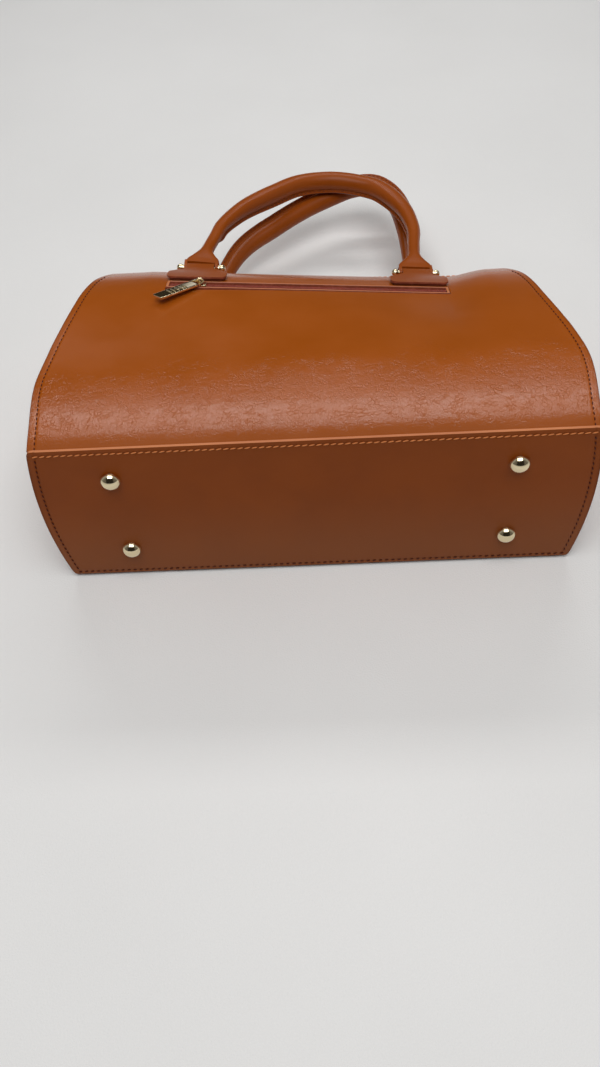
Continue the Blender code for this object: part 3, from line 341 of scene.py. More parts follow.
# Gentle dents and swells of the back panel: x, height, half width, half height, lift
SOFT_SHAPES = (
    (-125 * MM, 150 * MM, 70 * MM, 37 * MM, -2.6 * MM),
    (12 * MM, 78 * MM, 52 * MM, 24 * MM, 0.8 * MM),
    (96 * MM, 92 * MM, 26 * MM, 24 * MM, -0.9 * MM),
    (140 * MM, 70 * MM, 26 * MM, 30 * MM, 0.5 * MM),
)

# Steps and unevenness of the lining, and steps along the zips
LINING_STEP = 7 * MM
LINING_SAG = 0.5 * MM
ZIP_STEP = 3 * MM
TEETH_TO_SEAM = 0.9 * MM
TEETH_OVERLAP = 0.2 * MM
TAPE_THREAD_LIFT = 0.1 * MM

# Stitches along the zips' tapes
TAPE_PITCH = 1.8 * MM
TAPE_STITCH = 1.3 * MM
TAPE_THREAD = 0.35 * MM
TAPE_RUN_ON = 1.5 * MM

# Where the handles' leather starts, and how far their rolled seams stand out near their ends
FORK_END = 3.9 * MM
FIN_END_SHARES = {"back": (0.1, 0.5, 0.85, 1.0), "front": (0.75, 1.0, 1.0, 1.0)}

# Table, light and camera
FLOOR_HALF = 3.0
FLOOR_GAP = 0.2 * MM
FLOOR_LOW = (0.76, 0.755, 0.745)
FLOOR_HIGH = (0.79, 0.785, 0.775)
WORLD_COLOUR = (1.0, 1.0, 1.0)
WORLD_STRENGTH = 0.33
BACK_WALL_COLOUR = (0.10, 0.08, 0.06)
BACK_WALL_TOP = 0.64
FRONT_WALL_COLOUR = (0.42, 0.40, 0.38)
FRONT_WALL_TOP = 0.72
ONLOOKER_COLOUR = (0.07, 0.06, 0.05)
ONLOOKER_HALF = 0.5
LAMP_AIM = (0.0, -0.1, 0.08)
BACK_LAMP_PLACE = (0.0, 0.98, 1.09)
BACK_LAMP_SIZE = (1.5, 0.22)
BACK_LAMP_POWER = 7.15
TOP_LAMP_PLACE = (0.0, -0.55, 1.5)
TOP_LAMP_SIZE = (1.3, 1.0)
TOP_LAMP_POWER = 16.2
LENS = 28.68
SENSOR_WIDTH = 36
NEAREST_SEEN = 0.01
CAMERA_PLACE = (0.0090099, -0.5235896, 0.4892854)
CAMERA_TURN = (3.5125308, 54.0022592, -5.1549525)

bag_shift = Vector()


def smooth(value):
    """An ease from 0 to 1 as value goes from 0 to 1."""
    t = min(max(value, 0.0), 1.0)
    return t * t * (3 - 2 * t)


def between(value, shares):
    """The smooth curve through pairs of shares, read at value."""
    last = len(shares) - 2
    index = 0
    while index < last and value > shares[index + 1][0]:
        index += 1
    (low, start), (high, end) = shares[index], shares[index + 1]
    before = shares[index - 1] if index else (2 * low - high, 2 * start - end)
    after = shares[index + 2] if index < last else (2 * high - low, 2 * end - start)
    span = high - low
    slope_in = (end - before[1]) / (high - before[0]) * span
    slope_out = (after[1] - start) / (after[0] - low) * span
    t = (value - low) / span
    return (
        (2 * t**3 - 3 * t**2 + 1) * start
        + (t**3 - 2 * t**2 + t) * slope_in
        + (3 * t**2 - 2 * t**3) * end
        + (t**3 - t**2) * slope_out
    )


def steps(low, high, count):
    """Evenly spaced values from low to high, both included."""
    return [low + (high - low) * index / count for index in range(count + 1)]


def bag_point(x, height, depth):
    """A place in the bag's own directions, turned to how the bag lies."""
    own = Vector(
        (
            x,
            height * math.cos(LEAN) + depth * math.sin(LEAN),
            BASE_RISE + depth * math.cos(LEAN) - height * math.sin(LEAN),
        )
    )
    return own + bag_shift


def table_depth(height, rise=0.0):
    """The depth, at this height, of a place that lies at rise over the table."""
    return (rise - BASE_RISE + height * math.sin(LEAN)) / math.cos(LEAN)


def half_length(height):
    """Half the body's length at this height."""
    return BASE_LENGTH / 2 * between(height / BODY_HEIGHT, END_SHARES)


def end_bow(depth):
    """How far the base's ends bow out between their corners."""
    share = 2 * depth / BASE_DEPTH - 1
    return END_BOW * max(1 - share * share, 0.0)


def panel_twist(x):
    """How far the back panel's top is raised at x."""
    middle = -TWIST_SLOPE * min(max(x, -TWIST_LEFT), TWIST_RIGHT)
    ease = smooth((x - TWIST_RIGHT) / (RIGHT_BUMP_START - TWIST_RIGHT))
    return middle + (RIGHT_BUMP - middle) * ease


def top_blend(height):
    """How far a height lies on the way from the handle tabs to the zip."""
    start = ZIP_BLEND_SHARE * BODY_HEIGHT
    return smooth((height - start) / (BODY_HEIGHT - start))


def back_depth(x, height):
    share = height / BODY_HEIGHT
    full = smooth((share - TWIST_START_SHARE) / (TWIST_FULL_SHARE - TWIST_START_SHARE))
    blend = top_blend(height)
    twist = full * ((1 - blend) * panel_twist(x) - blend * ZIP_TWIST_SLOPE * x)
    past_zip = (BASE_DEPTH - TOP_GAP) / 2 * between(share, BACK_PROFILE_SHARES)
    return (BASE_DEPTH + TOP_GAP) / 2 + past_zip + twist


def front_depth(x, height):
    if height < FRONT_ROLL:
        return table_depth(height, BASE_RISE * (1 - math.sin(math.pi / 2 * height / FRONT_ROLL)))
    if height < FRONT_FLAT_END:
        return table_depth(height)
    edge = (BASE_DEPTH - TOP_GAP) / 2
    last_rise = BASE_RISE + edge * math.cos(LEAN) - BODY_HEIGHT * math.sin(LEAN)
    run = (height - FRONT_FLAT_END) / (BODY_HEIGHT - FRONT_FLAT_END)
    rise = last_rise * between(run, SHOULDER_SHARES)
    return table_depth(height, rise) - top_blend(height) * ZIP_TWIST_SLOPE * x


def lifted(place, x, height, lift, flip):
    """A place on a face of the body, moved out along that face's normal."""
    along = place(x + REACH, height) - place(x - REACH, height)
    up = place(x, height + REACH) - place(x, height - REACH)
    return place(x, height) + along.cross(up).normalized() * lift * flip


def on_back(x, height, lift=0.0):
    return lifted(lambda a, h: bag_point(a, h, back_depth(a, h)), x, height, lift, 1)


def on_front(x, height, lift=0.0):
    return lifted(lambda a, h: bag_point(a, h, front_depth(a, h)), x, height, lift, -1)


def on_top(x, across, lift=0.0):
    """A place over the top zip's middle line: across goes towards the back panel."""
    middle = BASE_DEPTH / 2
    return lifted(
        lambda a, c: bag_point(a, BODY_HEIGHT, middle - ZIP_TWIST_SLOPE * a + c), x, across, lift, -1
    )


def on_base(x, depth, lift=0.0):
    """A place on the base's outer face, where lift goes outwards, away from the bag."""
    return bag_point(x, -lift, depth)


def frame_at(origin, along, up):
    """A matrix whose X is along, whose Z is near up, and whose place is origin."""
    x_axis = along.normalized()
    y_axis = up.cross(x_axis).normalized()
    z_axis = x_axis.cross(y_axis)
    matrix = Matrix((x_axis, y_axis, z_axis)).transposed().to_4x4()
    matrix.translation = origin
    return matrix


def surface_frame(place, x, row, lift):
    """The frame of a rigid piece that lies on a face: X along the bag, Z out of the face."""
    along = place(x + REACH, row, lift) - place(x - REACH, row, lift)
    out = place(x, row, lift + REACH) - place(x, row, lift)
    return frame_at(place(x, row, lift), along, out)


def arc(radius, start, end, count, centre=(0.0, 0.0)):
    """Points along an arc round a centre, by angle in degrees."""
    turns = [math.radians(angle) for angle in steps(start, end, count)]
    return [(centre[0] + radius * math.cos(turn), centre[1] + radius * math.sin(turn)) for turn in turns]


def inset(outline, distance):
    """The outline moved inwards by a distance, with its corners kept square."""
    moved = []
    for index, spot in enumerate(outline):
        before = (spot - outline[index - 1]).normalized()
        after = (outline[(index + 1) % len(outline)] - spot).normalized()
        outwards = Vector((-before.y - after.y, before.x + after.x)).normalized()
        square = max(abs(outwards.dot(Vector((-before.y, before.x)))), 0.5)
        moved.append(spot - outwards * distance / square)
    return moved


def cup_ring(half_sides):
    """Shares round a rectangle, as (along, across), starting at the front's left corner."""
    along, across = half_sides
    front = [(share, -1.0) for share in steps(-1, 1, along)]
    right = [(1.0, share) for share in steps(-1, 1, across)][1:]
    back = [(share, 1.0) for share in steps(1, -1, along)][1:]
    left = [(-1.0, share) for share in steps(1, -1, across)][1:]
    return front + right + back + left


def ring_turns(sides):
    """The angles of points spaced evenly round a ring."""
    return [2 * math.pi * index / sides for index in range(sides)]


def puller_frame(frame, turn):
    """The puller's own frame: X from its bar to its point, Z out of the zip."""
    shift = Matrix.Translation((0, 0, SLIDER_BLADE + 2 * SEAM_GAP + PULLER / 2))
    return frame @ shift @ Matrix.Rotation(turn, 4, "Z") @ Matrix.Rotation(PULLER_DIP, 4, "Y")


def tab_half_width(height):
    """Half a tab's width: wide on the panel, narrow in the loop, with rounded lower corners."""
    bottom = PIN_HEIGHT - TAB_REACH
    wide = TAB_PATCH_WIDTH / 2
    narrow = TAB_LOOP_WIDTH / 2
    up = height - bottom
    if up < TAB_CORNER:
        left = TAB_CORNER - up
        return wide - TAB_CORNER + math.sqrt(max(TAB_CORNER**2 - left**2, 0.0))
    return wide + (narrow - wide) * smooth((up - TAB_FLAT) / (TAB_NECK - TAB_FLAT))


def pin_line(place):
    """The middle of a panel's two pins, their common direction and half the distance between them."""
    left, right = (place(side * TAB_SPACING / 2, PIN_HEIGHT, PIN_LIFT) for side in (-1, 1))
    return (left + right) / 2, (right - left).normalized(), (right - left).length / 2


def pin_profile():
    """Half a pin from its ball down to its middle."""
    centre = BALL_SPACING / 2
    meet = math.degrees(math.acos(COLLAR_RADIUS / BALL_RADIUS))
    ball = arc(BALL_RADIUS, 90, -meet, BALL_STEPS, (0.0, centre))[1:]
    return [(0.0, centre + BALL_RADIUS), *ball, (COLLAR_RADIUS, COLLAR_START), (PIN_RADIUS, COLLAR_START)]


def handle_course(place, shares, drop, tilt):
    """Places along a handle's middle line, in the plane of its pins tilted from level."""
    middle, axis, half = pin_line(place)
    level = Vector((0, math.cos(tilt), math.sin(tilt)))
    reach = (level - axis * level.dot(axis)).normalized()
    return [middle + axis * (x * half) + reach * (far * drop) for x, far in shares], reach


def distances_along(points):
    """How far each point lies from the first, along the line through them."""
    found = [0.0]
    for before, after in zip(points, points[1:]):
        found.append(found[-1] + (after - before).length)
    return found


def course_reader(points):
    """A function that gives the place and the direction at a distance along the points."""
    lengths = distances_along(points)
    tracks = [[(length, spot[axis]) for length, spot in zip(lengths, points)] for axis in range(3)]

    def read(distance):
        here = Vector([between(distance, track) for track in tracks])
        ahead = Vector([between(distance + REACH, track) for track in tracks])
        behind = Vector([between(distance - REACH, track) for track in tracks])
        return here, (ahead - behind).normalized()

    return read, lengths[-1]


def handle_size(distance, length):
    """Half the width, half the thickness and the squareness of a handle's section."""
    near = min(distance, length - distance)
    flare = between(min((near - FORK_DEPTH) / (FLARE_LENGTH - FORK_DEPTH), 1.0), FLARE_SHARES)
    tube = smooth((near - NECK_END) / (TUBE_START - NECK_END))
    width = NECK_WIDTH + (FLARE_WIDTH - NECK_WIDTH) * flare + (TUBE - NECK_WIDTH) * tube
    thick = NECK_THICKNESS + (FLARE_THICKNESS - NECK_THICKNESS) * flare + (TUBE - NECK_THICKNESS) * tube
    return width / 2, thick / 2, 2 + (FLARE_SQUARENESS - 2) * flare


def add_node(tree, kind, inputs=None, **settings):
    """A node with its settings, and its inputs given by name or place as values or linked sockets."""
    made = tree.nodes.new(kind)
    for key, value in settings.items():
        setattr(made, key, value)
    for key, value in (inputs or {}).items():
        if isinstance(value, bpy.types.NodeSocket):
            tree.links.new(value, made.inputs[key])
        else:
            made.inputs[key].default_value = value
    return made


def output_of(tree, kind, inputs=None, **settings):
    """The first output of a new node."""
    return add_node(tree, kind, inputs, **settings).outputs[0]


def new_group(name, kind, ins):
    """An empty node group, and its inputs by name: each is given a number, or else its kind of socket."""
    group = bpy.data.node_groups.new(name, kind)
    for label, value in ins.items():
        socket_kind = value if isinstance(value, str) else "Float"
        socket = group.interface.new_socket(label, in_out="INPUT", socket_type=f"NodeSocket{socket_kind}")
        if socket_kind == "Float":
            socket.default_value = value
    return group, group.nodes.new("NodeGroupInput").outputs


def closed_group(group, results, kind="Float"):
    """The group with its results handed out by name."""
    for label in results:
        group.interface.new_socket(label, in_out="OUTPUT", socket_type=f"NodeSocket{kind}")
    leave = group.nodes.new("NodeGroupOutput")
    for label, socket in results.items():
        group.links.new(socket, leave.inputs[label])
    return group


def math_node(tree, operation, first, second=0.0, clamp=False):
    return output_of(tree, "ShaderNodeMath", {0: first, 1: second}, operation=operation, use_clamp=clamp)


def product(tree, first, second, clamp=False):
    return math_node(tree, "MULTIPLY", first, second, clamp)


def remap(tree, value, low, high, to_low=0.0, to_high=1.0):
    inputs = {"Value": value, "From Min": low, "From Max": high, "To Min": to_low, "To Max": to_high}
    return output_of(tree, "ShaderNodeMapRange", inputs)


def blend_colours(tree, share, first, second):
    """A mix of two colours, each a linked socket or three numbers."""
    inputs = {0: share}
    for index, value in ((6, first), (7, second)):
        inputs[index] = value if isinstance(value, bpy.types.NodeSocket) else (*value, 1)
    return add_node(tree, "ShaderNodeMix", inputs, data_type="RGBA", blend_type="MIX").outputs[2]


def noise_at(tree, vector, scale, detail=3.0, rough=0.5):
    inputs = {"Vector": vector, "Scale": scale, "Detail": detail, "Roughness": rough}
    return add_node(tree, "ShaderNodeTexNoise", inputs).outputs["Fac"]


def scaled_vector(tree, vector, scale):
    return output_of(tree, "ShaderNodeVectorMath", {0: vector, "Scale": scale}, operation="SCALE")


def make_grain_group():
    """Leather: soft pebbles all over, and fine broken creases where the crease mask is high."""
    ins = {"Vector": "Vector", "Pebble Scale": 900.0, "Crease Scale": 340.0, "Crease": 0.0}
    group, enter = new_group("leather_grain", "ShaderNodeTree", ins)
    spot = enter["Vector"]
    warping = {"Vector": spot, "Scale": 160.0, "Detail": 3.0}
    warp = add_node(group, "ShaderNodeTexNoise", warping).outputs["Color"]
    shift = scaled_vector(group, warp, 0.006)
    bent = output_of(group, "ShaderNodeVectorMath", {0: spot, 1: shift}, operation="ADD")
    pebbles = {"Vector": spot, "Scale": enter["Pebble Scale"], "Smoothness": 0.6}
    pebble = output_of(group, "ShaderNodeTexVoronoi", pebbles, feature="SMOOTH_F1")
    creases = {"Vector": bent, "Scale": enter["Crease Scale"]}
    cells = output_of(group, "ShaderNodeTexVoronoi", creases, feature="DISTANCE_TO_EDGE")
    lines = remap(group, cells, 0.0, 0.13, 1.0, 0.0)
    broken = remap(group, noise_at(group, spot, 130.0, 4.0, 0.6), 0.40, 0.60)
    folds = product(group, product(group, lines, broken), enter["Crease"], True)
    dimples = product(group, math_node(group, "SUBTRACT", 1.0, pebble), 0.16)
    swell = product(group, noise_at(group, bent, 340.0, 4.0, 0.6), enter["Crease"])
    raised = math_node(group, "ADD", dimples, product(group, swell, 0.9))
    height = math_node(group, "SUBTRACT", raised, product(group, folds, 0.5))
    tone = noise_at(group, spot, 22.0, 4.0, 0.55)
    return closed_group(group, {"Height": height, "Tone": tone, "Lines": folds})


def make_weave_group():
    """Plain weave: threads that pass over and under each other along the piece's own UV map."""
    group, enter = new_group("plain_weave", "ShaderNodeTree", {"Vector": "Vector", "Threads": 1.0})
    scaled = scaled_vector(group, enter["Vector"], enter["Threads"])
    split = add_node(group, "ShaderNodeSeparateXYZ", {0: scaled}).outputs
    ridges = []
    for axis in (0, 1):
        wave = math_node(group, "SINE", product(group, split[axis], math.pi))
        ridges.append(math_node(group, "ABSOLUTE", wave))
    squares = {"Vector": scaled, "Scale": 1.0, "Color1": (1, 1, 1, 1), "Color2": (0, 0, 0, 1)}
    checker = add_node(group, "ShaderNodeTexChecker", squares).outputs["Fac"]
    over = product(group, ridges[0], checker)
    under = product(group, ridges[1], math_node(group, "SUBTRACT", 1.0, checker))
    height = math_node(group, "ADD", over, under)
    return closed_group(group, {"Height": height, "Thread": noise_at(group, scaled, 0.7, 2.0)})


def make_handling_group():
    """Marks of handling: soft smudges and hair-fine scratches, as a value round one half."""
    ins = {"Vector": "Vector", "Smudge Scale": 90.0}
    group, enter = new_group("handling_marks", "ShaderNodeTree", ins)
    smudge = noise_at(group, enter["Vector"], enter["Smudge Scale"], 4.0, 0.6)
    stretch = {"Vector": enter["Vector"], "Rotation": (0.0, 0.0, 0.5), "Scale": (9.0, 1.0, 1.0)}
    stretched = output_of(group, "ShaderNodeMapping", stretch)
    scratch = remap(group, noise_at(group, stretched, 420.0, 2.0), 0.62, 0.72)
    return closed_group(group, {"Marks": smudge, "Scratches": scratch})


def new_material(name, roughness, metallic=0.0, specular=0.5, sheen=0.0):
    made = bpy.data.materials.new(name)
    made.use_nodes = True
    values = {"Roughness": roughness, "Metallic": metallic, "Specular IOR Level": specular}
    for key, value in (values | {"Sheen Weight": sheen}).items():
        made.node_tree.nodes["Principled BSDF"].inputs[key].default_value = value
    return made, made.node_tree


def dressed(made, colour, height=None, relief=0.0, rough=None):
    """The material with its colour and, where they are given, its relief and its roughness linked."""
    tree = made.node_tree
    links = {"Base Color": colour, "Roughness": rough}
    if height is not None:
        values = {"Height": height, "Distance": relief, "Strength": 1.0}
        links["Normal"] = output_of(tree, "ShaderNodeBump", values)
    for key, value in links.items():
        if value is not None:
            tree.links.new(value, tree.nodes["Principled BSDF"].inputs[key])
    return made


def shade(colour, share, lift=0.0):
    """The colour made darker or paler, and then lifted towards white."""
    return tuple(min(share * value + lift, 1.0) for value in colour)


def object_place(tree):
    return tree.nodes.new("ShaderNodeTexCoord").outputs["Object"]


def put_group(tree, group, spot, inputs):
    """The outputs of a node group laid on a place."""
    return add_node(tree, "ShaderNodeGroup", {"Vector": spot} | inputs, node_tree=group).outputs


def attribute(tree, name):
    return add_node(tree, "ShaderNodeAttribute", attribute_name=name).outputs["Fac"]


def leather_material(name, deep, warm, roughness, shine, relief, pebble=900.0, crease_all=0.0):
    """Smooth leather: blotched colour, pebble grain and creases where the piece is marked for them."""
    made, tree = new_material(name, roughness, specular=shine)
    crease = math_node(tree, "ADD", attribute(tree, "crease"), crease_all, True)
    grain = put_group(tree, grain_group, object_place(tree), {"Pebble Scale": pebble, "Crease": crease})
    colour = blend_colours(tree, remap(tree, grain["Tone"], 0.3, 0.7), deep, warm)
    # Darker where the piece is marked: along stitched grooves, pressed and in shade, at turned edges, and as
    # painted shade at the back panel's foot
    pressed_and_painted_shade = product(tree, attribute(tree, "pressed_and_painted_shade"), 0.12, True)
    colour = blend_colours(tree, pressed_and_painted_shade, colour, shade(deep, 0.35))
    # Painted sheen: paler where the piece is marked for it
    colour = blend_colours(tree, attribute(tree, "painted_sheen"), colour, PAINTED_SHEEN_COLOUR)
    # Crease lines drawn a little darker: painted shade in the creases
    folded = product(tree, grain["Lines"], 0.08)
    colour = blend_colours(tree, folded, colour, shade(deep, 0.6))
    rough = remap(tree, grain["Tone"], 0.3, 0.7, roughness - 0.03, roughness + 0.04)
    return dressed(made, colour, grain["Height"], relief, rough)


def paint_material(name, colour, roughness):
    """Edge paint: thick, smooth and a little uneven."""
    made, tree = new_material(name, roughness)
    marks = put_group(tree, handling_group, object_place(tree), {"Smudge Scale": 240.0})["Marks"]
    share = remap(tree, marks, 0.45, 0.8)
    return dressed(made, blend_colours(tree, share, colour, shade(colour, 1.6, 0.02)), marks, 0.0002)


def thread_material(name, colour):
    """Twisted thread: fine slanted plies."""
    made, tree = new_material(name, 0.6, specular=0.15)
    twist = {"Vector": object_place(tree), "Scale": 900.0, "Distortion": 1.0, "Detail": 1.0}
    plies = add_node(tree, "ShaderNodeTexWave", twist, bands_direction="DIAGONAL").outputs["Fac"]
    return dressed(made, blend_colours(tree, plies, shade(colour, 0.55), colour), plies, 0.00008)


def metal_material(name, colour, roughness):
    """Plated metal with smudges and hair-fine scratches."""
    made, tree = new_material(name, roughness, 1.0)
    marks = put_group(tree, handling_group, object_place(tree), {"Smudge Scale": 120.0})
    rough = remap(tree, marks["Marks"], 0.40, 0.75, roughness, roughness + 0.10)
    share = product(tree, marks["Scratches"], 0.5)
    worn = blend_colours(tree, share, colour, shade(colour, 0.82))
    return dressed(made, worn, marks["Marks"], 0.00003, rough)


def cloth_material(name, colour, thread_size, roughness, relief):
    """Woven cloth on the piece's own UV map, which is in metres."""
    made, tree = new_material(name, roughness, specular=0.08, sheen=0.04)
    spot = output_of(tree, "ShaderNodeUVMap", uv_map="flat")
    weave = put_group(tree, weave_group, spot, {"Threads": 1 / thread_size})
    share = remap(tree, product(tree, weave["Height"], weave["Thread"]), 0.0, 0.6)
    return dressed(made, blend_colours(tree, share, shade(colour, 0.4), colour), weave["Height"], relief)


def moulded_material(name, colour, roughness):
    """Nylon wire: even, with a slight cloudiness."""
    made, tree = new_material(name, roughness, specular=0.3)
    cloud = remap(tree, noise_at(tree, object_place(tree), 350.0), 0.3, 0.7)
    return dressed(made, blend_colours(tree, cloud, colour, shade(colour, 1.5, 0.01)))


def board_material(name, colour):
    """Pressed board: short fibres in every direction."""
    made, tree = new_material(name, 0.9)
    fibres = noise_at(tree, object_place(tree), 700.0, 6.0, 0.7)
    share = remap(tree, fibres, 0.35, 0.65)
    return dressed(made, blend_colours(tree, share, shade(colour, 0.6), colour), fibres, 0.0002)


def floor_material():
    """Pale even table, as bright to the camera and in reflections as it is lit."""
    made, tree = new_material("pale_table", 0.6, specular=0.3)
    spot = object_place(tree)
    mottle = remap(tree, noise_at(tree, spot, 5.0, 3.0), 0.3, 0.7)
    colour = blend_colours(tree, mottle, FLOOR_LOW, FLOOR_HIGH)
    return dressed(made, colour, noise_at(tree, spot, 900.0, 3.0), 0.0002)


def add_object(name, data):
    made = bpy.data.objects.new(name, data)
    bpy.context.scene.collection.objects.link(made)
    return made


def add_piece(name, mesh, materials):
    for material in materials:
        mesh.materials.append(material)
    return add_object(name, mesh)


def finished(item):
    """The piece with its modifiers made part of a plain mesh."""
    graph = bpy.context.evaluated_depsgraph_get()
    mesh = bpy.data.meshes.new_from_object(item.evaluated_get(graph), depsgraph=graph)
    item.modifiers.clear()
    old = item.data
    item.data = mesh
    bpy.data.meshes.remove(old)
    mesh.name = item.name
    mesh.shade_smooth()
    return item


def hand_over(item, body, slot, *nodes):
    """The piece rides on a body and stands for CAD nodes, which are hidden; the slot is not used."""
    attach(item, body)
    if nodes:
        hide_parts(*nodes)
    return item


def graded(*marks):
    """Values through marks given as (value, longest step after it)."""
    found = [marks[0][0]]
    for (low, longest), (high, _) in zip(marks, marks[1:]):
        count = max(1, math.ceil((high - low) / longest - 1e-6))
        found += steps(low, high, count)[1:]
    return found


def sheet_mesh(name, columns, rows, place, hole=None, looped=False, marks=None):
    """A grid laid out by place(column, row), with named point values and a UV map in metres."""
    mesh = bpy.data.meshes.new(name)
    wide = len(columns) - (1 if looped else 0)
    spots = [place(column, row) for row in rows for column in columns[:wide]]
    faces = []
    for r in range(len(rows) - 1):
        for c in range(len(columns) - 1):
            middle = ((columns[c] + columns[c + 1]) / 2, (rows[r] + rows[r + 1]) / 2)
            if hole and hole(*middle):
                continue
            after = (c + 1) % wide
            faces.append((r * wide + c, r * wide + after, (r + 1) * wide + after, (r + 1) * wide + c))
    mesh.from_pydata(spots, [], faces)
    for label, value_at in (marks or {}).items():
        layer = mesh.attributes.new(label, "FLOAT", "POINT")
        values = [value_at(column, row) for row in rows for column in columns[:wide]]
        layer.data.foreach_set("value", values)
    along = distances_along([spots[c % wide] for c in range(len(columns))])
    up = distances_along(spots[::wide])
    layer = mesh.uv_layers.new(name="flat")
    for face in mesh.polygons:
        last = max(mesh.loops[loop].vertex_index % wide for loop in face.loop_indices) == wide - 1
        for loop in face.loop_indices:
            index = mesh.loops[loop].vertex_index
            column = index % wide
            if looped and last and column == 0:
                column = wide
            layer.data[loop].uv = (along[column], up[index // wide])
    shape = bmesh.new()
    shape.from_mesh(mesh)
    bmesh.ops.remove_doubles(shape, verts=shape.verts, dist=MERGE)
    loose = [corner for corner in shape.verts if not corner.link_faces]
    bmesh.ops.delete(shape, geom=loose, context="VERTS")
    shape.to_mesh(mesh)
    shape.free()
    mesh.shade_smooth()
    return mesh


def mesh_from(shape, name):
    """The finished shape as a smooth mesh with its faces looking outwards."""
    bmesh.ops.recalc_face_normals(shape, faces=shape.faces)
    mesh = bpy.data.meshes.new(name)
    shape.to_mesh(mesh)
    shape.free()
    mesh.shade_smooth()
    return mesh


def evenly(low, high, longest):
    """Values from low to high, with none further from the next than longest."""
    return graded((low, longest), (high, longest))


def thick_piece(mesh, node, slot, wall, materials, rounding=ROUND_EDGE, segments=3, corner=-1):
    """A sheet of the body given its thickness inwards, with its cut edges rounded.

    A second material paints the cut edges. The piece stands for a CAD node; the slot is not used.
    """
    item = add_piece(mesh.name, mesh, materials)
    change = item.modifiers.new("wall", "SOLIDIFY")
    change.thickness = wall
    change.offset = -1.0
    change.use_even_offset = True
    change.use_quality_normals = True
    change.material_offset_rim = min(len(materials) - 1, 1)
    if rounding:
        edge = item.modifiers.new("rounded", "BEVEL")
        edge.width = rounding
        edge.segments = segments
        edge.limit_method = "ANGLE"
        edge.angle_limit = SHARP
        edge.material = corner
    return hand_over(finished(item), "bag_body", slot, node)


def side_groove(from_edge, inset, height=0.0, top=SEAM_TOP):
    """How deep a stitched groove is at a distance from an edge, fading out at the seam's top."""
    share = abs(from_edge - inset) / GROOVE_HALF
    if share >= 1:
        return 0.0
    return (0.5 + 0.5 * math.cos(math.pi * share)) * (1 - smooth((height - top) / SEAM_FADE))


def edge_spread(column, half):
    """Columns laid out for half the base length, fitted to another half length, with the edge band kept."""
    inner = POCKET_LENGTH / 2
    rest = BASE_LENGTH / 2 - EDGE_BAND
    size = abs(column)
    if size <= inner:
        return column
    if size >= rest:
        return math.copysign(half - (BASE_LENGTH / 2 - size), column)
    share = (size - inner) / (rest - inner)
    return math.copysign(inner + share * (half - EDGE_BAND - inner), column)


def panel_columns():
    half = BASE_LENGTH / 2
    pocket = POCKET_LENGTH / 2
    return graded(
        (-half, EDGE_STEP), (EDGE_BAND - half, PANEL_STEP), (-pocket, PANEL_STEP), (pocket, PANEL_STEP),
        (half - EDGE_BAND, EDGE_STEP), (half, EDGE_STEP),
    )


def soft_shape(x, height):
    """The back panel's gentle dents and swells."""
    total = 0.0
    for middle_x, middle_height, half_x, half_height, lift in SOFT_SHAPES:
        far = ((x - middle_x) / half_x) ** 2 + ((height - middle_height) / half_height) ** 2
        total += lift * math.exp(-far)
    return total


def crease_mask(x, height):
    """Where the back panel is creased: a band along the base, patchy at its upper edge."""
    patches = noise.noise(Vector((x, height, 0.0)) * CREASE_PATCHES)
    top = CREASE_TOP + CREASE_UNEVEN * patches + CREASE_SLOPE * max(x, 0.0)
    rise = smooth((height - CREASE_LOW) / CREASE_START)
    return rise * (1 - smooth((height - top) / CREASE_FADE))


def edge_tone(from_edge):
    """How deep the leather's tone is where it turns over at the side of a panel."""
    return EDGE_TONE * (1 - smooth(from_edge / EDGE_TONE_REACH))


def painted_lip_shade(height):
    """How strong the painted shade is on the back panel just above the base's lip, where the panel faces
    down towards the table.
    """
    return LIP_SHADE_STRENGTH * (1 - smooth(height / LIP_SHADE_HEIGHT))


def wrinkle(x, height):
    """Shallow folds of the creased leather, which run slantwise along the bag."""
    spot = Vector((x * 55 - height * 40, height * 150, 3.0))
    fold = 1 - abs(noise.noise(spot)) * 2.2
    fine = noise.noise(Vector((x * 190, height * 260, 7.0)))
    return crease_mask(x, height) * (FOLD_RELIEF * max(fold, 0.0) ** 3 + FINE_RELIEF * fine)


def body_grooves(x, height):
    """How deep the stitched grooves are at the side and the top of a large panel."""
    side = side_groove(half_length(height) - abs(x), SEAM_INSET, height)
    return max(side, side_groove(BODY_HEIGHT - height, TOP_SEAM_INSET))


def back_lift(x, height):
    return soft_shape(x, height) + wrinkle(x, height) - GROOVE * body_grooves(x, height)


def front_lift(x, height):
    return -GROOVE * body_grooves(x, height)


def in_pocket(column, height):
    return abs(column) < POCKET_LENGTH / 2 and abs(height - POCKET_HEIGHT) < POCKET_WIDTH / 2


def panel_place(on_face, lift_at):
    """Where a large panel's points lie, by column and height."""

    def place(column, height):
        x = edge_spread(column, half_length(height))
        return on_face(x, height, lift_at(x, height))

    return place


def make_back_panel():
    rows = graded(
        (LEATHER + SEAM_GAP, CREASED_STEP),
        (CREASED_TOP, PANEL_STEP),
        (POCKET_HEIGHT - POCKET_WIDTH / 2, PANEL_STEP),
        (POCKET_HEIGHT + POCKET_WIDTH / 2, PANEL_STEP),
        (BODY_HEIGHT - EDGE_BAND, EDGE_STEP),
        (BODY_HEIGHT, EDGE_STEP),
    )

    # Darker along the stitched grooves, pressed and in shade, at the turned edges, and as painted shade at
    # the panel's foot above the base's lip
    def pressed_and_painted_shade(column, height):
        from_edge = BASE_LENGTH / 2 - abs(column)
        return max(side_groove(from_edge, SEAM_INSET, height), painted_lip_shade(height), edge_tone(from_edge))

    marks = {"crease": lambda c, h: crease_mask(edge_spread(c, half_length(h)), h), "pressed_and_painted_shade": pressed_and_painted_shade}
    place = panel_place(on_back, back_lift)
    mesh = sheet_mesh("back_panel_leather", panel_columns(), rows, place, in_pocket, marks=marks)
    thick_piece(mesh, "back_panel", "smooth_leather", LEATHER, [leather, dark_edge])


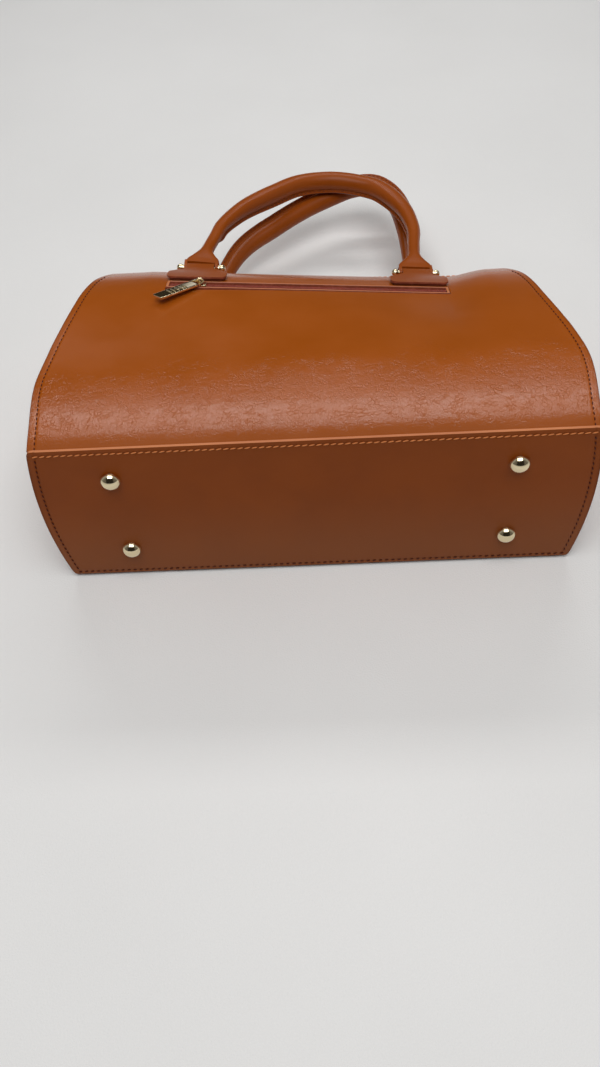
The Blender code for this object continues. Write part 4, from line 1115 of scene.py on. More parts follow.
def make_front_panel():
    rows = graded(
        (LEATHER + SEAM_GAP, PANEL_STEP),
        (FRONT_ROLL, 4 * MM),
        (FRONT_FLAT_END, PANEL_STEP),
        (BODY_HEIGHT - EDGE_BAND, EDGE_STEP),
        (BODY_HEIGHT, EDGE_STEP),
    )[::-1]

    marks = {
        "crease": lambda c, h: FRONT_CREASE * (1 - smooth(h / FRONT_CREASE_END)),
        "pressed_and_painted_shade": lambda c, h: side_groove(BASE_LENGTH / 2 - abs(c), SEAM_INSET, h),
    }
    place = panel_place(on_front, front_lift)
    mesh = sheet_mesh("front_panel_leather", panel_columns(), rows, place, marks=marks)
    thick_piece(mesh, "front_panel", "smooth_leather", LEATHER, [leather, dark_edge])


def base_grooves(column, depth):
    """How deep the base's stitched grooves are at a place on it."""
    side = side_groove(BASE_LENGTH / 2 - abs(column), SEAM_INSET)
    lip = side_groove(BASE_DEPTH + BASE_LIP - depth, LIP_SEAM_INSET)
    low = side_groove(depth + BASE_LIP, BASE_SEAM_INSET)
    return max(side, lip, low)


def round_corner(column, depth):
    """Moves the points of a square corner onto a round one."""
    middle = BASE_DEPTH / 2
    flat_x = BASE_LENGTH / 2 - BASE_CORNER
    flat_depth = BASE_DEPTH / 2 + BASE_LIP - BASE_CORNER
    u = (abs(column) - flat_x) / BASE_CORNER
    v = (abs(depth - middle) - flat_depth) / BASE_CORNER
    if u <= 0 or v <= 0:
        return column, depth
    round_x = flat_x + u * math.sqrt(1 - v * v / 2) * BASE_CORNER
    round_depth = flat_depth + v * math.sqrt(1 - u * u / 2) * BASE_CORNER
    return math.copysign(round_x, column), middle + math.copysign(round_depth, depth - middle)


def make_base():
    low = -BASE_LIP
    high = BASE_DEPTH + BASE_LIP
    rows = graded(
        (low, EDGE_STEP), (low + EDGE_BAND, 4 * MM), (high - EDGE_BAND, EDGE_STEP), (high, EDGE_STEP)
    )

    def place(column, depth):
        bow = end_bow(depth) if 0 < depth < BASE_DEPTH else 0.0
        x, moved = round_corner(column, depth)
        x += math.copysign(bow * smooth(abs(column) / (BASE_LENGTH / 2)), column)
        return on_base(x, moved, -GROOVE * base_grooves(column, depth))

    marks = {
        "crease": lambda c, d: BASE_CREASE,
        "pressed_and_painted_shade": lambda c, d: max(base_grooves(c, d), edge_tone(BASE_LENGTH / 2 - abs(c))),
        # Paler towards the table: a painted sheen, the reflection of the pale table
        "painted_sheen": lambda c, d: BASE_SHEEN * (1 - smooth(d / BASE_SHEEN_DEPTH)),
    }
    mesh = sheet_mesh("base_leather_panel", panel_columns(), rows, place, marks=marks)
    item = thick_piece(mesh, "base_panel", "base_leather", LEATHER, [base_leather, dark_edge, pale_edge_highlight])
    # Rim faces that look up take the pale edge: a painted highlight along the top of the lip
    for face in item.data.polygons:
        if face.material_index == 1 and face.normal.z > 0.5:
            face.material_index = 2


def end_outline(side):
    """The body's outline at one end, as (height, depth), from the front's top round to the back's."""
    fronts = graded((0.0, 5 * MM), (FRONT_ROLL, 10 * MM), (FRONT_FLAT_END, 3 * MM), (BODY_HEIGHT, 3 * MM))
    backs = evenly(0.0, BODY_HEIGHT, 4 * MM)
    front = [Vector((height, front_depth(side * half_length(height), height))) for height in fronts[::-1]]
    back = [Vector((height, back_depth(side * half_length(height), height))) for height in backs]
    base = [Vector((0.0, depth)) for depth in steps(0, BASE_DEPTH, 22)[1:-1]]
    top = [Vector((BODY_HEIGHT, depth)) for depth in steps(back[-1].y, front[0].y, 6)[1:-1]]
    corners = [front[0], front[-1], back[0], back[-1]]

    def kept(spot):
        return spot in corners or min((spot - corner).length for corner in corners) > END_CORNER

    return [spot for spot in front + base + back + top if kept(spot)]


def make_end_panel(side, name):
    outline = end_outline(side)
    tray = 2 * LEATHER + 3 * SEAM_GAP
    rim = inset(outline, tray)
    floor = inset(outline, tray + BEND)
    centre = Vector((BODY_HEIGHT / 2, BASE_DEPTH / 2 + BODY_HEIGHT * math.tan(LEAN) / 4))
    loops = [(0.0, 0.0), (0.5, FLANGE / 2), (1.0, FLANGE - BEND), (1.6, FLANGE - BEND / 3), (2.0, FLANGE)]
    loops += [(2 + share, FLANGE) for share in (0.04, 0.1, 0.18, 0.28, 0.4, 0.55, 0.75, 1.0)]

    def place(column, row):
        index = column % len(outline)
        level, depth_in = loops[row]
        if level < 2:
            spot = rim[index].lerp(floor[index], max(level - 1, 0.0))
            x = half_length(outline[index].x) - depth_in
        else:
            k = 3 - level
            spot = centre + (floor[index] - centre) * k
            height = outline[index].x if k == 1 else spot.x
            x = half_length(height) - depth_in + END_DOME * (1 - k * k)
        x += end_bow(spot.y) * (1 - smooth(spot.x / END_BOW_TOP))
        return bag_point(side * x, spot.x, spot.y)

    columns = list(range(len(outline) + 1))[::-side]
    mesh = sheet_mesh(f"{name}_leather", columns, range(len(loops)), place, looped=True)
    thick_piece(mesh, name, "smooth_leather", LEATHER, [leather, dark_edge])


def hang_cloth(mesh, node, wall):
    """A bag of lining cloth, given its thickness."""
    item = thick_piece(mesh, node, "lining_cloth", wall, [lining_cloth], rounding=0)


def make_lining():
    ring = cup_ring((48, 10))
    rows = evenly(LINING_FLOOR, LINING_TOP, LINING_STEP)

    def place(column, row):
        along, across = ring[column % (len(ring) - 1)]
        height = rows[max(row - 1, 0)]
        half = min(half_length(height), half_length(height + LINING_LEAD))
        x = along * (half - FLANGE - LEATHER - LINING_END_GAP)
        sag = LINING_SAG * (1 + noise.noise(Vector((x * 30, height * 14, across * 3))))
        low = front_depth(x, height) + LINING_DROP + sag
        high = back_depth(x, height) - LINING_DROP - sag
        if row == 0:
            return bag_point(x, height, (low + high) / 2)
        return bag_point(x, height, low + (high - low) * (across + 1) / 2)

    mesh = sheet_mesh("lining_bag", range(len(ring))[::-1], range(len(rows) + 1), place, looped=True)
    hang_cloth(mesh, "lining", LINING)


def make_pouch():
    """The pocket's bag: its near side hangs from the lower tape and its far side from the upper one."""
    ring = cup_ring((40, 1))
    half = POCKET_LENGTH / 2
    bottom = POCKET_HEIGHT - POUCH_DEPTH
    rows = [0.0] + steps(POUCH_FOLD / POUCH_DEPTH, 1, 30)

    def place(column, row):
        along, across = ring[column % (len(ring) - 1)]
        far = across > 0
        top = POCKET_HEIGHT + (TAPE_WIDTH if far else -TAPE_WIDTH)
        lift = -(POUCH_FAR if far else POUCH_NEAR)
        if row == 0:
            lift = -(POUCH_FAR + POUCH_NEAR) / 2
        return on_back(along * half, bottom + (top - bottom) * row, lift)

    mesh = sheet_mesh("pocket_pouch_cloth", range(len(ring)), rows, place, looped=True)
    hang_cloth(mesh, "pocket_pouch", POUCH_CLOTH)


def pocket_place(x, across, lift=0.0):
    return on_back(x, POCKET_HEIGHT + across, lift)


def make_pocket_welt():
    """Folded leather lips round the pocket's opening, which stand a little proud."""
    half = POCKET_LENGTH / 2 - SEAM_GAP
    half_width = POCKET_WIDTH / 2 - SEAM_GAP
    inner = half - WELT
    inner_width = half_width - LIP_SHOWN
    columns = graded((-half, 1 * MM), (WELT - half, PANEL_STEP), (inner, 1 * MM), (half, 1 * MM))
    rows = graded(
        (-half_width, 1 * MM), (LIP_SHOWN - half_width, 3 * MM), (inner_width, 1 * MM), (half_width, 1 * MM)
    )

    def opening(column, row):
        return abs(column) < inner and abs(row) < inner_width

    def place(x, across):
        return pocket_place(x, across, WELT_LIFT + LIP_UNEVEN * noise.noise(Vector((x * 60, across, 0))))

    mesh = sheet_mesh("pocket_welt_lips", columns, rows, place, opening)
    # Lips in the pale edge, a painted highlight; their inner walls in the dark cut-edge paint, which here is
    # painted shade inside the slit
    edges = [pale_edge_highlight, cut_edge_and_shade]
    thick_piece(mesh, "pocket_welt", "edge_leather", LEATHER + WELT_LIFT, edges, 0.5 * MM, 4)


def tape_lift(across):
    """How high a tape's outer face lies: it swells a little along the coil."""
    return TAPE_SWELL * (1 - smooth(abs(across) / TAPE_SWELL_HALF)) - LEATHER - SEAM_GAP


def make_tape(node, place, half, low, high, mirrored):
    low, high = sorted((low, high), reverse=mirrored)
    columns = evenly(-half, half, PANEL_STEP)
    rows = steps(low, high, 12)
    mesh = sheet_mesh(f"{node}_cloth", columns, rows, lambda x, a: place(x, a, tape_lift(a)))
    item = thick_piece(mesh, node, "zip_tape", TAPE, [tape_cloth], rounding=0)


def make_path(name, runs):
    """Open lines of (place, outwards) as one mesh of edges that knows its outward direction."""
    mesh = bpy.data.meshes.new(name)
    spots = []
    outs = []
    edges = []
    for run in runs:
        for index, (spot, out) in enumerate(run):
            if index:
                edges.append((len(spots) - 1, len(spots)))
            spots.append(spot)
            outs.extend(out)
    mesh.from_pydata(spots, edges, [])
    layer = mesh.attributes.new("out", "FLOAT_VECTOR", "POINT")
    layer.data.foreach_set("vector", outs)
    return mesh


def repeat_tree(name, ins, make_shape):
    """Geometry Nodes that set a small shape along every line of a mesh, X along and Z outwards."""
    ins = {"Geometry": "Geometry", "Pitch": PITCH} | ins | {"Turn": 0.0, "Material": "Material"}
    tree, enter = new_group(name, "GeometryNodeTree", ins)
    aligned = "FunctionNodeAlignRotationToVector"
    curve = output_of(tree, "GeometryNodeMeshToCurve", {"Mesh": enter["Geometry"]})
    spacing = {"Curve": curve, "Length": enter["Pitch"]}
    spaced = output_of(tree, "GeometryNodeResampleCurve", spacing, mode="LENGTH")
    along = output_of(tree, "GeometryNodeInputTangent")
    out = output_of(tree, "GeometryNodeInputNamedAttribute", {"Name": "out"}, data_type="FLOAT_VECTOR")
    first = output_of(tree, aligned, {"Vector": along}, axis="X")
    second = output_of(tree, aligned, {"Rotation": first, "Vector": out}, axis="Z", pivot_axis="X")
    turn = output_of(tree, "FunctionNodeAxisAngleToRotation", {"Axis": (0, 0, 1), "Angle": enter["Turn"]})
    turning = {"Rotation": second, "Rotate By": turn}
    turned = output_of(tree, "FunctionNodeRotateRotation", turning, rotation_space="LOCAL")
    placing = {"Points": spaced, "Instance": make_shape(tree, enter), "Rotation": turned}
    placed = output_of(tree, "GeometryNodeInstanceOnPoints", placing)
    real = output_of(tree, "GeometryNodeRealizeInstances", {"Geometry": placed})
    soft = output_of(tree, "GeometryNodeSetShadeSmooth", {"Geometry": real})
    painting = {"Geometry": soft, "Material": enter["Material"]}
    painted = output_of(tree, "GeometryNodeSetMaterial", painting)
    return closed_group(tree, {"Geometry": painted}, "Geometry")


def stitch_shape(tree, enter):
    """One stitch: a short bulging length of thread."""
    ball = output_of(tree, "GeometryNodeMeshUVSphere", {"Segments": 8, "Rings": 6, "Radius": 0.5})
    upright = {"Geometry": ball, "Rotation": (0.0, math.pi / 2, 0.0)}
    upright = output_of(tree, "GeometryNodeTransform", upright)
    size = {0: enter["Length"], 1: enter["Thread"], 2: enter["Thread"]}
    size = output_of(tree, "ShaderNodeCombineXYZ", size)
    return output_of(tree, "GeometryNodeTransform", {"Geometry": upright, "Scale": size})


def tooth_shape(tree, enter):
    """One turn of a zip's coil: a flattened loop of wire, set to one side of the line."""
    circle = "GeometryNodeCurvePrimitiveCircle"
    ring = output_of(tree, circle, {"Resolution": 12, "Radius": 0.5})
    size = output_of(tree, "ShaderNodeCombineXYZ", {0: enter["Height"], 1: enter["Width"], 2: 1.0})
    flat = output_of(tree, "GeometryNodeTransform", {"Geometry": ring, "Scale": size})
    wire = output_of(tree, circle, {"Resolution": 6, "Radius": enter["Wire"]})
    loop = output_of(tree, "GeometryNodeCurveToMesh", {"Curve": flat, "Profile Curve": wire})
    side = output_of(tree, "ShaderNodeCombineXYZ", {0: enter["Step"], 1: enter["Side"], 2: 0.0})
    upright = {"Geometry": loop, "Rotation": (0.0, math.pi / 2, TOOTH_SLANT), "Translation": side}
    return output_of(tree, "GeometryNodeTransform", upright)


def make_repeat(name, tree, mesh, values):
    """A mesh of lines, dressed by a tree with its inputs set by name, made a plain mesh."""
    item = add_object(name, mesh)
    change = item.modifiers.new("repeat", "NODES")
    change.node_group = tree
    for socket in tree.interface.items_tree:
        if socket.in_out == "INPUT" and socket.name in values:
            change[socket.identifier] = values[socket.name]
    return finished(item)


def sew(
    name, runs, thread, body, slot="smooth_leather", turn=0.0, length=STITCH, pitch=PITCH, width=THREAD
):
    values = {"Pitch": pitch, "Length": length, "Thread": width, "Turn": turn, "Material": thread}
    return hand_over(make_repeat(name, stitch_tree, make_path(name, runs), values), body, slot)


def run_on(place, spots):
    """A line of (place, outwards) through (x, row, lift) spots of a face."""
    found = []
    for x, row, lift in spots:
        here = place(x, row, lift)
        found.append((here, (place(x, row, lift + REACH) - here).normalized()))
    return found


def make_seams():
    """Every row of stitches on the body."""
    sunk = THREAD / 2 - GROOVE
    lip = BASE_DEPTH + BASE_LIP - LIP_SEAM_INSET
    low = BASE_SEAM_INSET - BASE_LIP
    reach = BASE_LENGTH / 2 - SEAM_INSET
    level = evenly(-reach, reach, RUN_STEP)
    base_light = [run_on(on_base, [(x, lip, sunk) for x in level])]
    base_dark = [run_on(on_base, [(x, low, sunk) for x in level])]
    across = evenly(low + PITCH, lip - PITCH, RUN_STEP)
    heights = evenly(4 * MM, SEAM_TOP, RUN_STEP)
    sides = []
    for side in (-1, 1):
        ends = [(side * (reach + end_bow(depth)), depth, sunk) for depth in across]
        base_dark.append(run_on(on_base, ends))
        for place, lift in ((on_back, back_lift), (on_front, front_lift)):
            spots = []
            for height in heights:
                x = side * (half_length(height) - SEAM_INSET)
                spots.append((x, height, lift(x, height) + THREAD / 4))
            sides.append(run_on(place, spots))
    top = BODY_HEIGHT - TOP_SEAM_INSET
    end = half_length(top) - SEAM_INSET
    top_spots = [(x, top, sunk) for x in evenly(-end, end, RUN_STEP)]
    tops = [run_on(on_back, top_spots), run_on(on_front, top_spots)]
    base = {"body": "bag_body", "slot": "base_leather", "turn": SEAM_TILT}
    sew("base_lip_stitches", base_light, light_thread, length=LIP_STITCH, width=LIP_THREAD, **base)
    sew("base_edge_stitches", base_dark, dark_thread, length=SIDE_STITCH, **base)
    sew("side_seam_stitches", sides, dark_thread, "bag_body", length=SIDE_STITCH)
    sew("top_edge_stitches", tops, light_thread, "bag_body")


def make_zip(prefix, place, length, width, names, mirrored):
    half = length / 2
    slit = CHAIN_SLIT / 2
    tape_half = half + TAPE_RUN_ON
    lift = tape_lift(0) + SEAM_GAP + TOOTH_HEIGHT / 2
    along = evenly(-half, half, ZIP_STEP)
    row = TOOTH_WIDTH + TEETH_TO_SEAM
    for side, name in zip((1, -1), names):
        node = f"{prefix}_{name}"
        make_tape(f"{node}_tape", place, tape_half, side * slit, side * width, mirrored)
        turned_side = -side if mirrored else side
        values = {
            "Pitch": TOOTH_PITCH,
            "Width": TOOTH_WIDTH,
            "Height": TOOTH_HEIGHT,
            "Wire": TOOTH_WIRE,
            "Side": turned_side * (TOOTH_WIDTH / 2 - TEETH_OVERLAP),
            "Step": side * TOOTH_PITCH / 4,
            "Material": coil_nylon,
        }
        path = make_path(f"{node}_line", [run_on(place, [(x, 0.0, lift) for x in along])])
        teeth = make_repeat(f"{node}_teeth", tooth_tree, path, values)
        hand_over(teeth, "bag_body", "zip_coil", f"{node}_coil")
        run = run_on(place, [(x, side * row, tape_lift(row) + TAPE_THREAD_LIFT) for x in along])
        sizes = {"length": TAPE_STITCH, "pitch": TAPE_PITCH, "width": TAPE_THREAD}
        sew(f"{node}_tape_stitches", [run], tape_thread, "bag_body", "zip_tape", **sizes)


def make_zip_tabs():
    """Leather tabs that close the gap between the panels past both ends of the top zip."""
    end = half_length(BODY_HEIGHT) - SEAM_GAP
    across = TOP_GAP / 2 - LEATHER
    for side, name in ((-1, "left"), (1, "right")):
        low, high = sorted((side * end, side * (end - ZIP_TAB)))
        columns = evenly(low, high, 1 * MM)
        mesh = sheet_mesh(f"top_zip_tab_{name}_leather", columns, steps(across, -across, 20), on_top)
        thick_piece(mesh, f"top_zip_tab_{name}", "smooth_leather", LEATHER, [leather, dark_edge])


def turned_mesh(name, profile, sides, matrix):
    """A profile of (radius, height) points turned about Z, run down its outer side."""
    shape = bmesh.new()
    rings = []
    for radius, height in profile:
        turns = ring_turns(sides) if radius else [0.0]
        rings.append([shape.verts.new((radius * math.cos(t), radius * math.sin(t), height)) for t in turns])
    pairs = list(zip(rings, rings[1:]))
    if profile[0][0] > 0:
        pairs.append((rings[-1], rings[0]))
    for upper, lower in pairs:
        for index in range(sides):
            after = (index + 1) % sides
            corners = [upper[index % len(upper)], lower[index % len(lower)]]
            corners += [lower[after % len(lower)], upper[after % len(upper)]]
            face = list(dict.fromkeys(corners))
            if len(face) > 2:
                shape.faces.new(face)
    mesh = mesh_from(shape, name)
    mesh.transform(matrix)
    mesh.set_sharp_from_angle(angle=SHARP)
    return mesh


def foot_places():
    for side_x, end in ((-1, "left"), (1, "right")):
        for side_depth, face in ((-1, "front"), (1, "back")):
            depth = BASE_DEPTH / 2 + side_depth * FOOT_SPACING_DEPTH / 2
            yield f"{face}_{end}", side_x * FOOT_SPACING_X / 2, depth


def foot_profile():
    """A domed stud with a rolled rim, run from its crown down its side and its stem."""
    stem_end = -(LEATHER + SEAM_GAP + BOARD + SEAM_GAP + WASHER)
    radius = FOOT_RADIUS + FOOT_FULLNESS
    rise = FOOT_HEIGHT - FOOT_RIM
    dome = [(0.0, FOOT_HEIGHT)]
    for angle in steps(0, 90, 16)[1:]:
        turn = math.radians(angle)
        dome.append((radius * math.sin(turn), FOOT_RIM + rise * math.cos(turn)))
    rim = [(radius, FOOT_RIM * 0.7), (radius - FOOT_RIM * 0.15, FOOT_RIM * 0.35)]
    rim += [(radius - FOOT_RIM / 2, FOOT_GAP), (FOOT_STEM_RADIUS, FOOT_GAP)]
    return dome + rim + [(FOOT_STEM_RADIUS, stem_end), (0.0, stem_end)]


def make_feet():
    for place, x, depth in foot_places():
        out = on_base(x, depth, OVERRUN) - on_base(x, depth)
        frame = frame_at(on_base(x, depth), Vector((1, 0, 0)), out)
        mesh = turned_mesh(f"foot_{place}_stud", foot_profile(), FINE_SIDES, frame)
        hand_over(add_piece(f"foot_{place}_stud", mesh, [gold]), "bag_body", "pale_gold", f"foot_{place}")


def make_pin(name, node, centre, axis, body):
    half = pin_profile()
    whole = half + [(radius, -height) for radius, height in half[::-1]]
    side = axis.cross(Vector((0, 1, 0)))
    mesh = turned_mesh(name, whole, FINE_SIDES // 2, frame_at(centre, side, axis))
    hand_over(add_piece(name, mesh, [gold]), body, "pale_gold", node)


def strap_rows():
    """The folded strap's outer face as (height, lift, half width), up its front, round the pin and down."""
    bottom = PIN_HEIGHT - TAB_REACH
    layer = 2 * SEAM_GAP + 2 * TAB_LEATHER
    radius = PIN_RADIUS + SEAM_GAP + TAB_LEATHER
    leave = math.radians(TAB_LEAVE)
    shares = (0.0, 0.02, 0.06, 0.12, 0.2, 0.3, 0.45, 0.7, 1.0)
    front = [(bottom + share * TAB_CORNER, layer) for share in shares]
    front += [(height, layer) for height in evenly(bottom + TAB_CORNER, bottom + TAB_FLAT, 1.2 * MM)[1:]]
    top_height = PIN_HEIGHT + radius * math.cos(leave)
    top_lift = PIN_LIFT + radius * math.sin(leave)
    for share in steps(0, 1, 16)[1:-1]:
        height = bottom + TAB_FLAT + share * (top_height - bottom - TAB_FLAT)
        front.append((height, layer + between(share, TAB_RISE_SHARES) * (top_lift - layer)))
    front += arc(radius, TAB_LEAVE, -90, 26, (PIN_HEIGHT, PIN_LIFT))
    found = [(height, lift, tab_half_width(height)) for height, lift in front]
    count = max(2, round((PIN_HEIGHT - bottom - TAB_CORNER) / (1.5 * MM)))
    under = steps(PIN_HEIGHT, bottom + TAB_CORNER, count)[1:]
    under += [bottom + share * TAB_CORNER for share in shares[::-1][1:]]
    for height in under:
        share = min((height - bottom) / TAB_CORNER, 1)
        moved = height + (1 - share) * STRAP_RECESS
        found.append((moved, SEAM_GAP, tab_half_width(height) - STRAP_RECESS))
    return found


def make_tab(name, place, x, reverse):
    rows = strap_rows()
    columns = [-1.0, -0.97, -0.9] + steps(-0.8, 0.8, 14) + [0.9, 0.97, 1.0]
    if reverse:
        columns.reverse()

    def spot(column, row):
        height, lift, half = rows[row]
        return place(x + column * half, height, lift)

    mesh = sheet_mesh(f"{name}_strap", columns, range(len(rows)), spot)
    # The tab's rounded edges take the pale edge: a painted highlight along them
    materials = [handle_leather, cut_edge_and_shade, pale_edge_highlight]
    thick_piece(mesh, name, "smooth_leather", TAB_LEATHER, materials, 0.45 * MM, corner=2)


def make_tabs():
    for face, place in (("back", on_back), ("front", on_front)):
        for side, end in ((-1, "left"), (1, "right")):
            make_tab(f"{face}_tab_{end}", place, side * TAB_SPACING / 2, face == "front")


def section_spot(read, distance, normal, size, turn):
    """A place on a handle's rounded section: turn 0 is its inner side and a quarter turn its upper one."""
    here, ahead = read(distance)
    side = ahead.cross(normal).normalized()
    half_width, half_thick, squareness = size
    across = math.copysign(abs(math.cos(turn)) ** (2 / squareness), math.cos(turn))
    out = math.copysign(abs(math.sin(turn)) ** (2 / squareness), math.sin(turn))
    return here + side * across * half_width + normal * out * half_thick


def tube_mesh(name, read, distances, normal, turns, *sizes):
    """A tube along a handle's course, given the size of its skin and, where it has one, of its bore."""
    walls = []
    for size_at in sizes:
        rings = []
        for distance in distances:
            sized = [(size_at(distance, turn), turn) for turn in turns]
            rings.append([section_spot(read, distance, normal, size, turn) for size, turn in sized])
        walls.append(rings)
    return ringed_mesh(name, walls)


def ringed_mesh(name, walls):
    """Rings of points joined into walls: a single wall is closed at its ends, and two are joined there."""
    shape = bmesh.new()
    walls = [[[shape.verts.new(spot) for spot in ring] for ring in wall] for wall in walls]
    for wall in walls:
        for before, after in zip(wall, wall[1:]):
            join_rings(shape, before, after)
    for end in (0, -1):
        if len(walls) > 1:
            join_rings(shape, walls[0][end], walls[1][end])
        else:
            shape.faces.new(walls[0][end])
    return mesh_from(shape, name)


def join_rings(shape, first, second):
    for index, corner in enumerate(first):
        after = (index + 1) % len(first)
        shape.faces.new((corner, first[after], second[after], second[index]))


def outline_mesh(outlines, thickness, rounding=0.0, lift=0.0):
    """A flat outline, with any holes, extruded to both sides of its lift, with its edges rounded."""
    curve = bpy.data.curves.new("outline", "CURVE")
    curve.dimensions = "2D"
    curve.fill_mode = "BOTH"
    curve.extrude = thickness / 2
    for points in outlines:
        spline = curve.splines.new("POLY")
        spline.points.add(len(points) - 1)
        for spot, (x, y) in zip(spline.points, points):
            spot.co = (x, y, 0, 1)
        spline.use_cyclic_u = True
    drawn = add_object("outline", curve)
    bpy.context.view_layer.update()
    mesh = bpy.data.meshes.new_from_object(drawn.evaluated_get(bpy.context.evaluated_depsgraph_get()))
    bpy.data.objects.remove(drawn, do_unlink=True)
    bpy.data.curves.remove(curve)
    shape = bmesh.new()
    shape.from_mesh(mesh)
    bmesh.ops.remove_doubles(shape, verts=shape.verts, dist=MERGE)
    bmesh.ops.dissolve_limit(shape, angle_limit=math.radians(1), verts=shape.verts, edges=shape.edges)
    bmesh.ops.recalc_face_normals(shape, faces=shape.faces)
    if rounding:
        edges = [edge for edge in shape.edges if edge.calc_face_angle(0) > SHARP]
        bmesh.ops.bevel(shape, geom=edges, offset=rounding, segments=3, profile=0.5, affect="EDGES")
    shape.to_mesh(mesh)
    shape.free()
    mesh.transform(Matrix.Translation((0, 0, lift)))
    mesh.shade_smooth()
    mesh.set_sharp_from_angle(angle=CAST_SHARP)
    return mesh


def joined(meshes):
    shape = bmesh.new()
    for mesh in meshes:
        shape.from_mesh(mesh)
    made = bpy.data.meshes.new("joined")
    shape.to_mesh(made)
    shape.free()
    return made


def make_cast(name, node, parts, matrix, body):
    """Parts joined as one piece of plated metal."""
    mesh = joined(parts)
    mesh.transform(matrix)
    mesh.shade_smooth()
    mesh.set_sharp_from_angle(angle=CAST_SHARP)
    hand_over(add_piece(name, mesh, [gold]), body, "pale_gold", node)


def ear_meshes(centre, axis, reach):
    """The two ears of a fork, each with a hole for the pin."""
    top = FORK_DEPTH + EAR_ROOT
    outline = [(EAR_RADIUS, top), (-EAR_RADIUS, top), *arc(EAR_RADIUS, 180, 360, 20)]
    hole = arc(PIN_RADIUS + SEAM_GAP, 0, 360, 24)[:-1]
    place = (TAB_LOOP_WIDTH + EAR) / 2 + SEAM_GAP
    found = []
    for side in (-1, 1):
        mesh = outline_mesh([outline, hole], EAR)
        mesh.transform(frame_at(centre + axis * side * place, reach.cross(axis), axis))
        found.append(mesh)
    return found


def handle_distances(length):
    near = graded((FORK_END, 1 * MM), (2 * FORK_DEPTH, 2 * MM), (FLARE_LENGTH, HANDLE_STEP), (length / 2, 1))
    return near + [length - distance for distance in near[-2::-1]]


def fin_direction(read, distance, normal, face):
    """Across a handle: which way its rolled seam points, and which way the seam's seen face looks."""
    _, ahead = read(distance)
    side = ahead.cross(normal).normalized()
    flip = 1 if face == "back" else -1
    turn = FIN_TURN[face]
    points = (side * math.sin(turn) - normal * math.cos(turn)) * flip
    looks = side * math.cos(turn) + normal * math.sin(turn)
    return points, looks


def make_fin(face, read, length, normal, body):
    """The rolled handle's stitched seam: two cut edges that stand out together along the tube."""
    distances = evenly(FIN_START, length - FIN_START, HANDLE_STEP)
    rings = []
    seam = []
    for index, distance in enumerate(distances):
        here, _ = read(distance)
        half_width, half_thick, _ = handle_size(distance, length)
        radius = (half_width + half_thick) / 2
        points, looks = fin_direction(read, distance, normal, face)
        ends = min(index, len(distances) - 1 - index)
        tip = radius + FIN_REACH[face] * FIN_END_SHARES[face][min(ends, 3)]
        tip += FIN_UNEVEN * noise.noise(Vector((distance * 45, 1.0 if face == "back" else 5.0, 0)))
        half = FIN / 2 * (0.8 if ends == 0 else 1.0)
        soft = FIN_ROUND
        profile = [(radius - FIN_ROOT, half * 1.25), (radius, half * 1.05), (tip - soft, half)]
        profile += [(tip - soft * 0.3, half - soft * 0.3), (tip, half - soft)]
        profile += [(out, -up) for out, up in profile[::-1]]
        rings.append([here + points * out + looks * up for out, up in profile])
        if ends > 1:
            spot = here + points * (tip - FIN_SEAM_INSET) + looks * (half + FIN_THREAD_LIFT)
            seam.append((spot, looks))
    mesh = ringed_mesh(f"{face}_handle_seam", [rings])
    item = add_piece(f"{face}_handle_seam", mesh, [handle_leather, dark_edge])
    count = len(profile)
    for face_index, polygon in enumerate(mesh.polygons):
        if face_index < (len(rings) - 1) * count and face_index % count in FIN_EDGE_FACES:
            polygon.material_index = 1
    hand_over(item, body, "smooth_leather")
    sew(f"{face}_handle_stitches", [seam], handle_thread, body)


def make_handle(face, place, shares, drop, tilt):
    middle, axis, half = pin_line(place)
    points, reach = handle_course(place, shares, drop, tilt)
    read, length = course_reader(points)
    normal = axis.cross(reach)
    body = f"{face}_handle_set"

    def bore(distance, turn):
        half_width, half_thick, squareness = handle_size(distance, length)
        bore_width = min(half_width - HANDLE_WALL, HANDLE_BORE_WIDTH / 2)
        return bore_width, half_thick - HANDLE_WALL, squareness

    def skin(distance, turn):
        half_width, half_thick, squareness = handle_size(distance, length)
        ease = HANDLE_UNEVEN * noise.noise(Vector((distance * 60, math.cos(turn) * 2, math.sin(turn) * 2)))
        return half_width + ease, half_thick + ease, squareness

    name = f"{face}_handle_leather"
    distances = handle_distances(length)
    mesh = tube_mesh(name, read, distances, normal, ring_turns(HANDLE_RING), skin, bore)
    item = add_piece(name, mesh, [handle_leather])
    ears = []
    for side, end in ((-1, "left"), (1, "right")):
        centre = middle + axis * side * half
        ears += ear_meshes(centre, axis, reach)
        make_pin(f"{face}_pin_{end}_stud", f"{face}_pin_{end}", centre, axis, body)
    peg = add_object("ears", joined(ears))
    union = item.modifiers.new("ears", "BOOLEAN")
    union.operation = "UNION"
    union.object = peg
    union.solver = "EXACT"
    finished(item)
    bpy.data.objects.remove(peg, do_unlink=True)
    item.data.set_sharp_from_angle(angle=HANDLE_SHARP)
    hand_over(item, body, "smooth_leather", f"{face}_handle")
    make_core(face, read, length, normal, body)
    make_fin(face, read, length, normal, body)


def make_core(face, read, length, normal, body):
    """Twisted rope inside the rolled leather: three strands wound round each other."""
    clear = HANDLE_WALL + 2 * SEAM_GAP

    def strands(distance, turn):
        half_width, half_thick, _ = handle_size(distance, length)
        twist = 2 * math.pi * distance / ROPE_TWIST
        bulge = 1 - ROPE_GROOVE * (1 - abs(math.cos(1.5 * (turn - twist))))
        return (half_width - clear) * bulge, (half_thick - clear) * bulge, 2

    name = f"{face}_handle_rope"
    distances = evenly(CORE_START, length - CORE_START, 2 * MM)
    mesh = tube_mesh(name, read, distances, normal, ring_turns(ROPE_SIDES), strands)
    hand_over(add_piece(name, mesh, [rope]), body, "core_rope", f"{face}_handle_core")


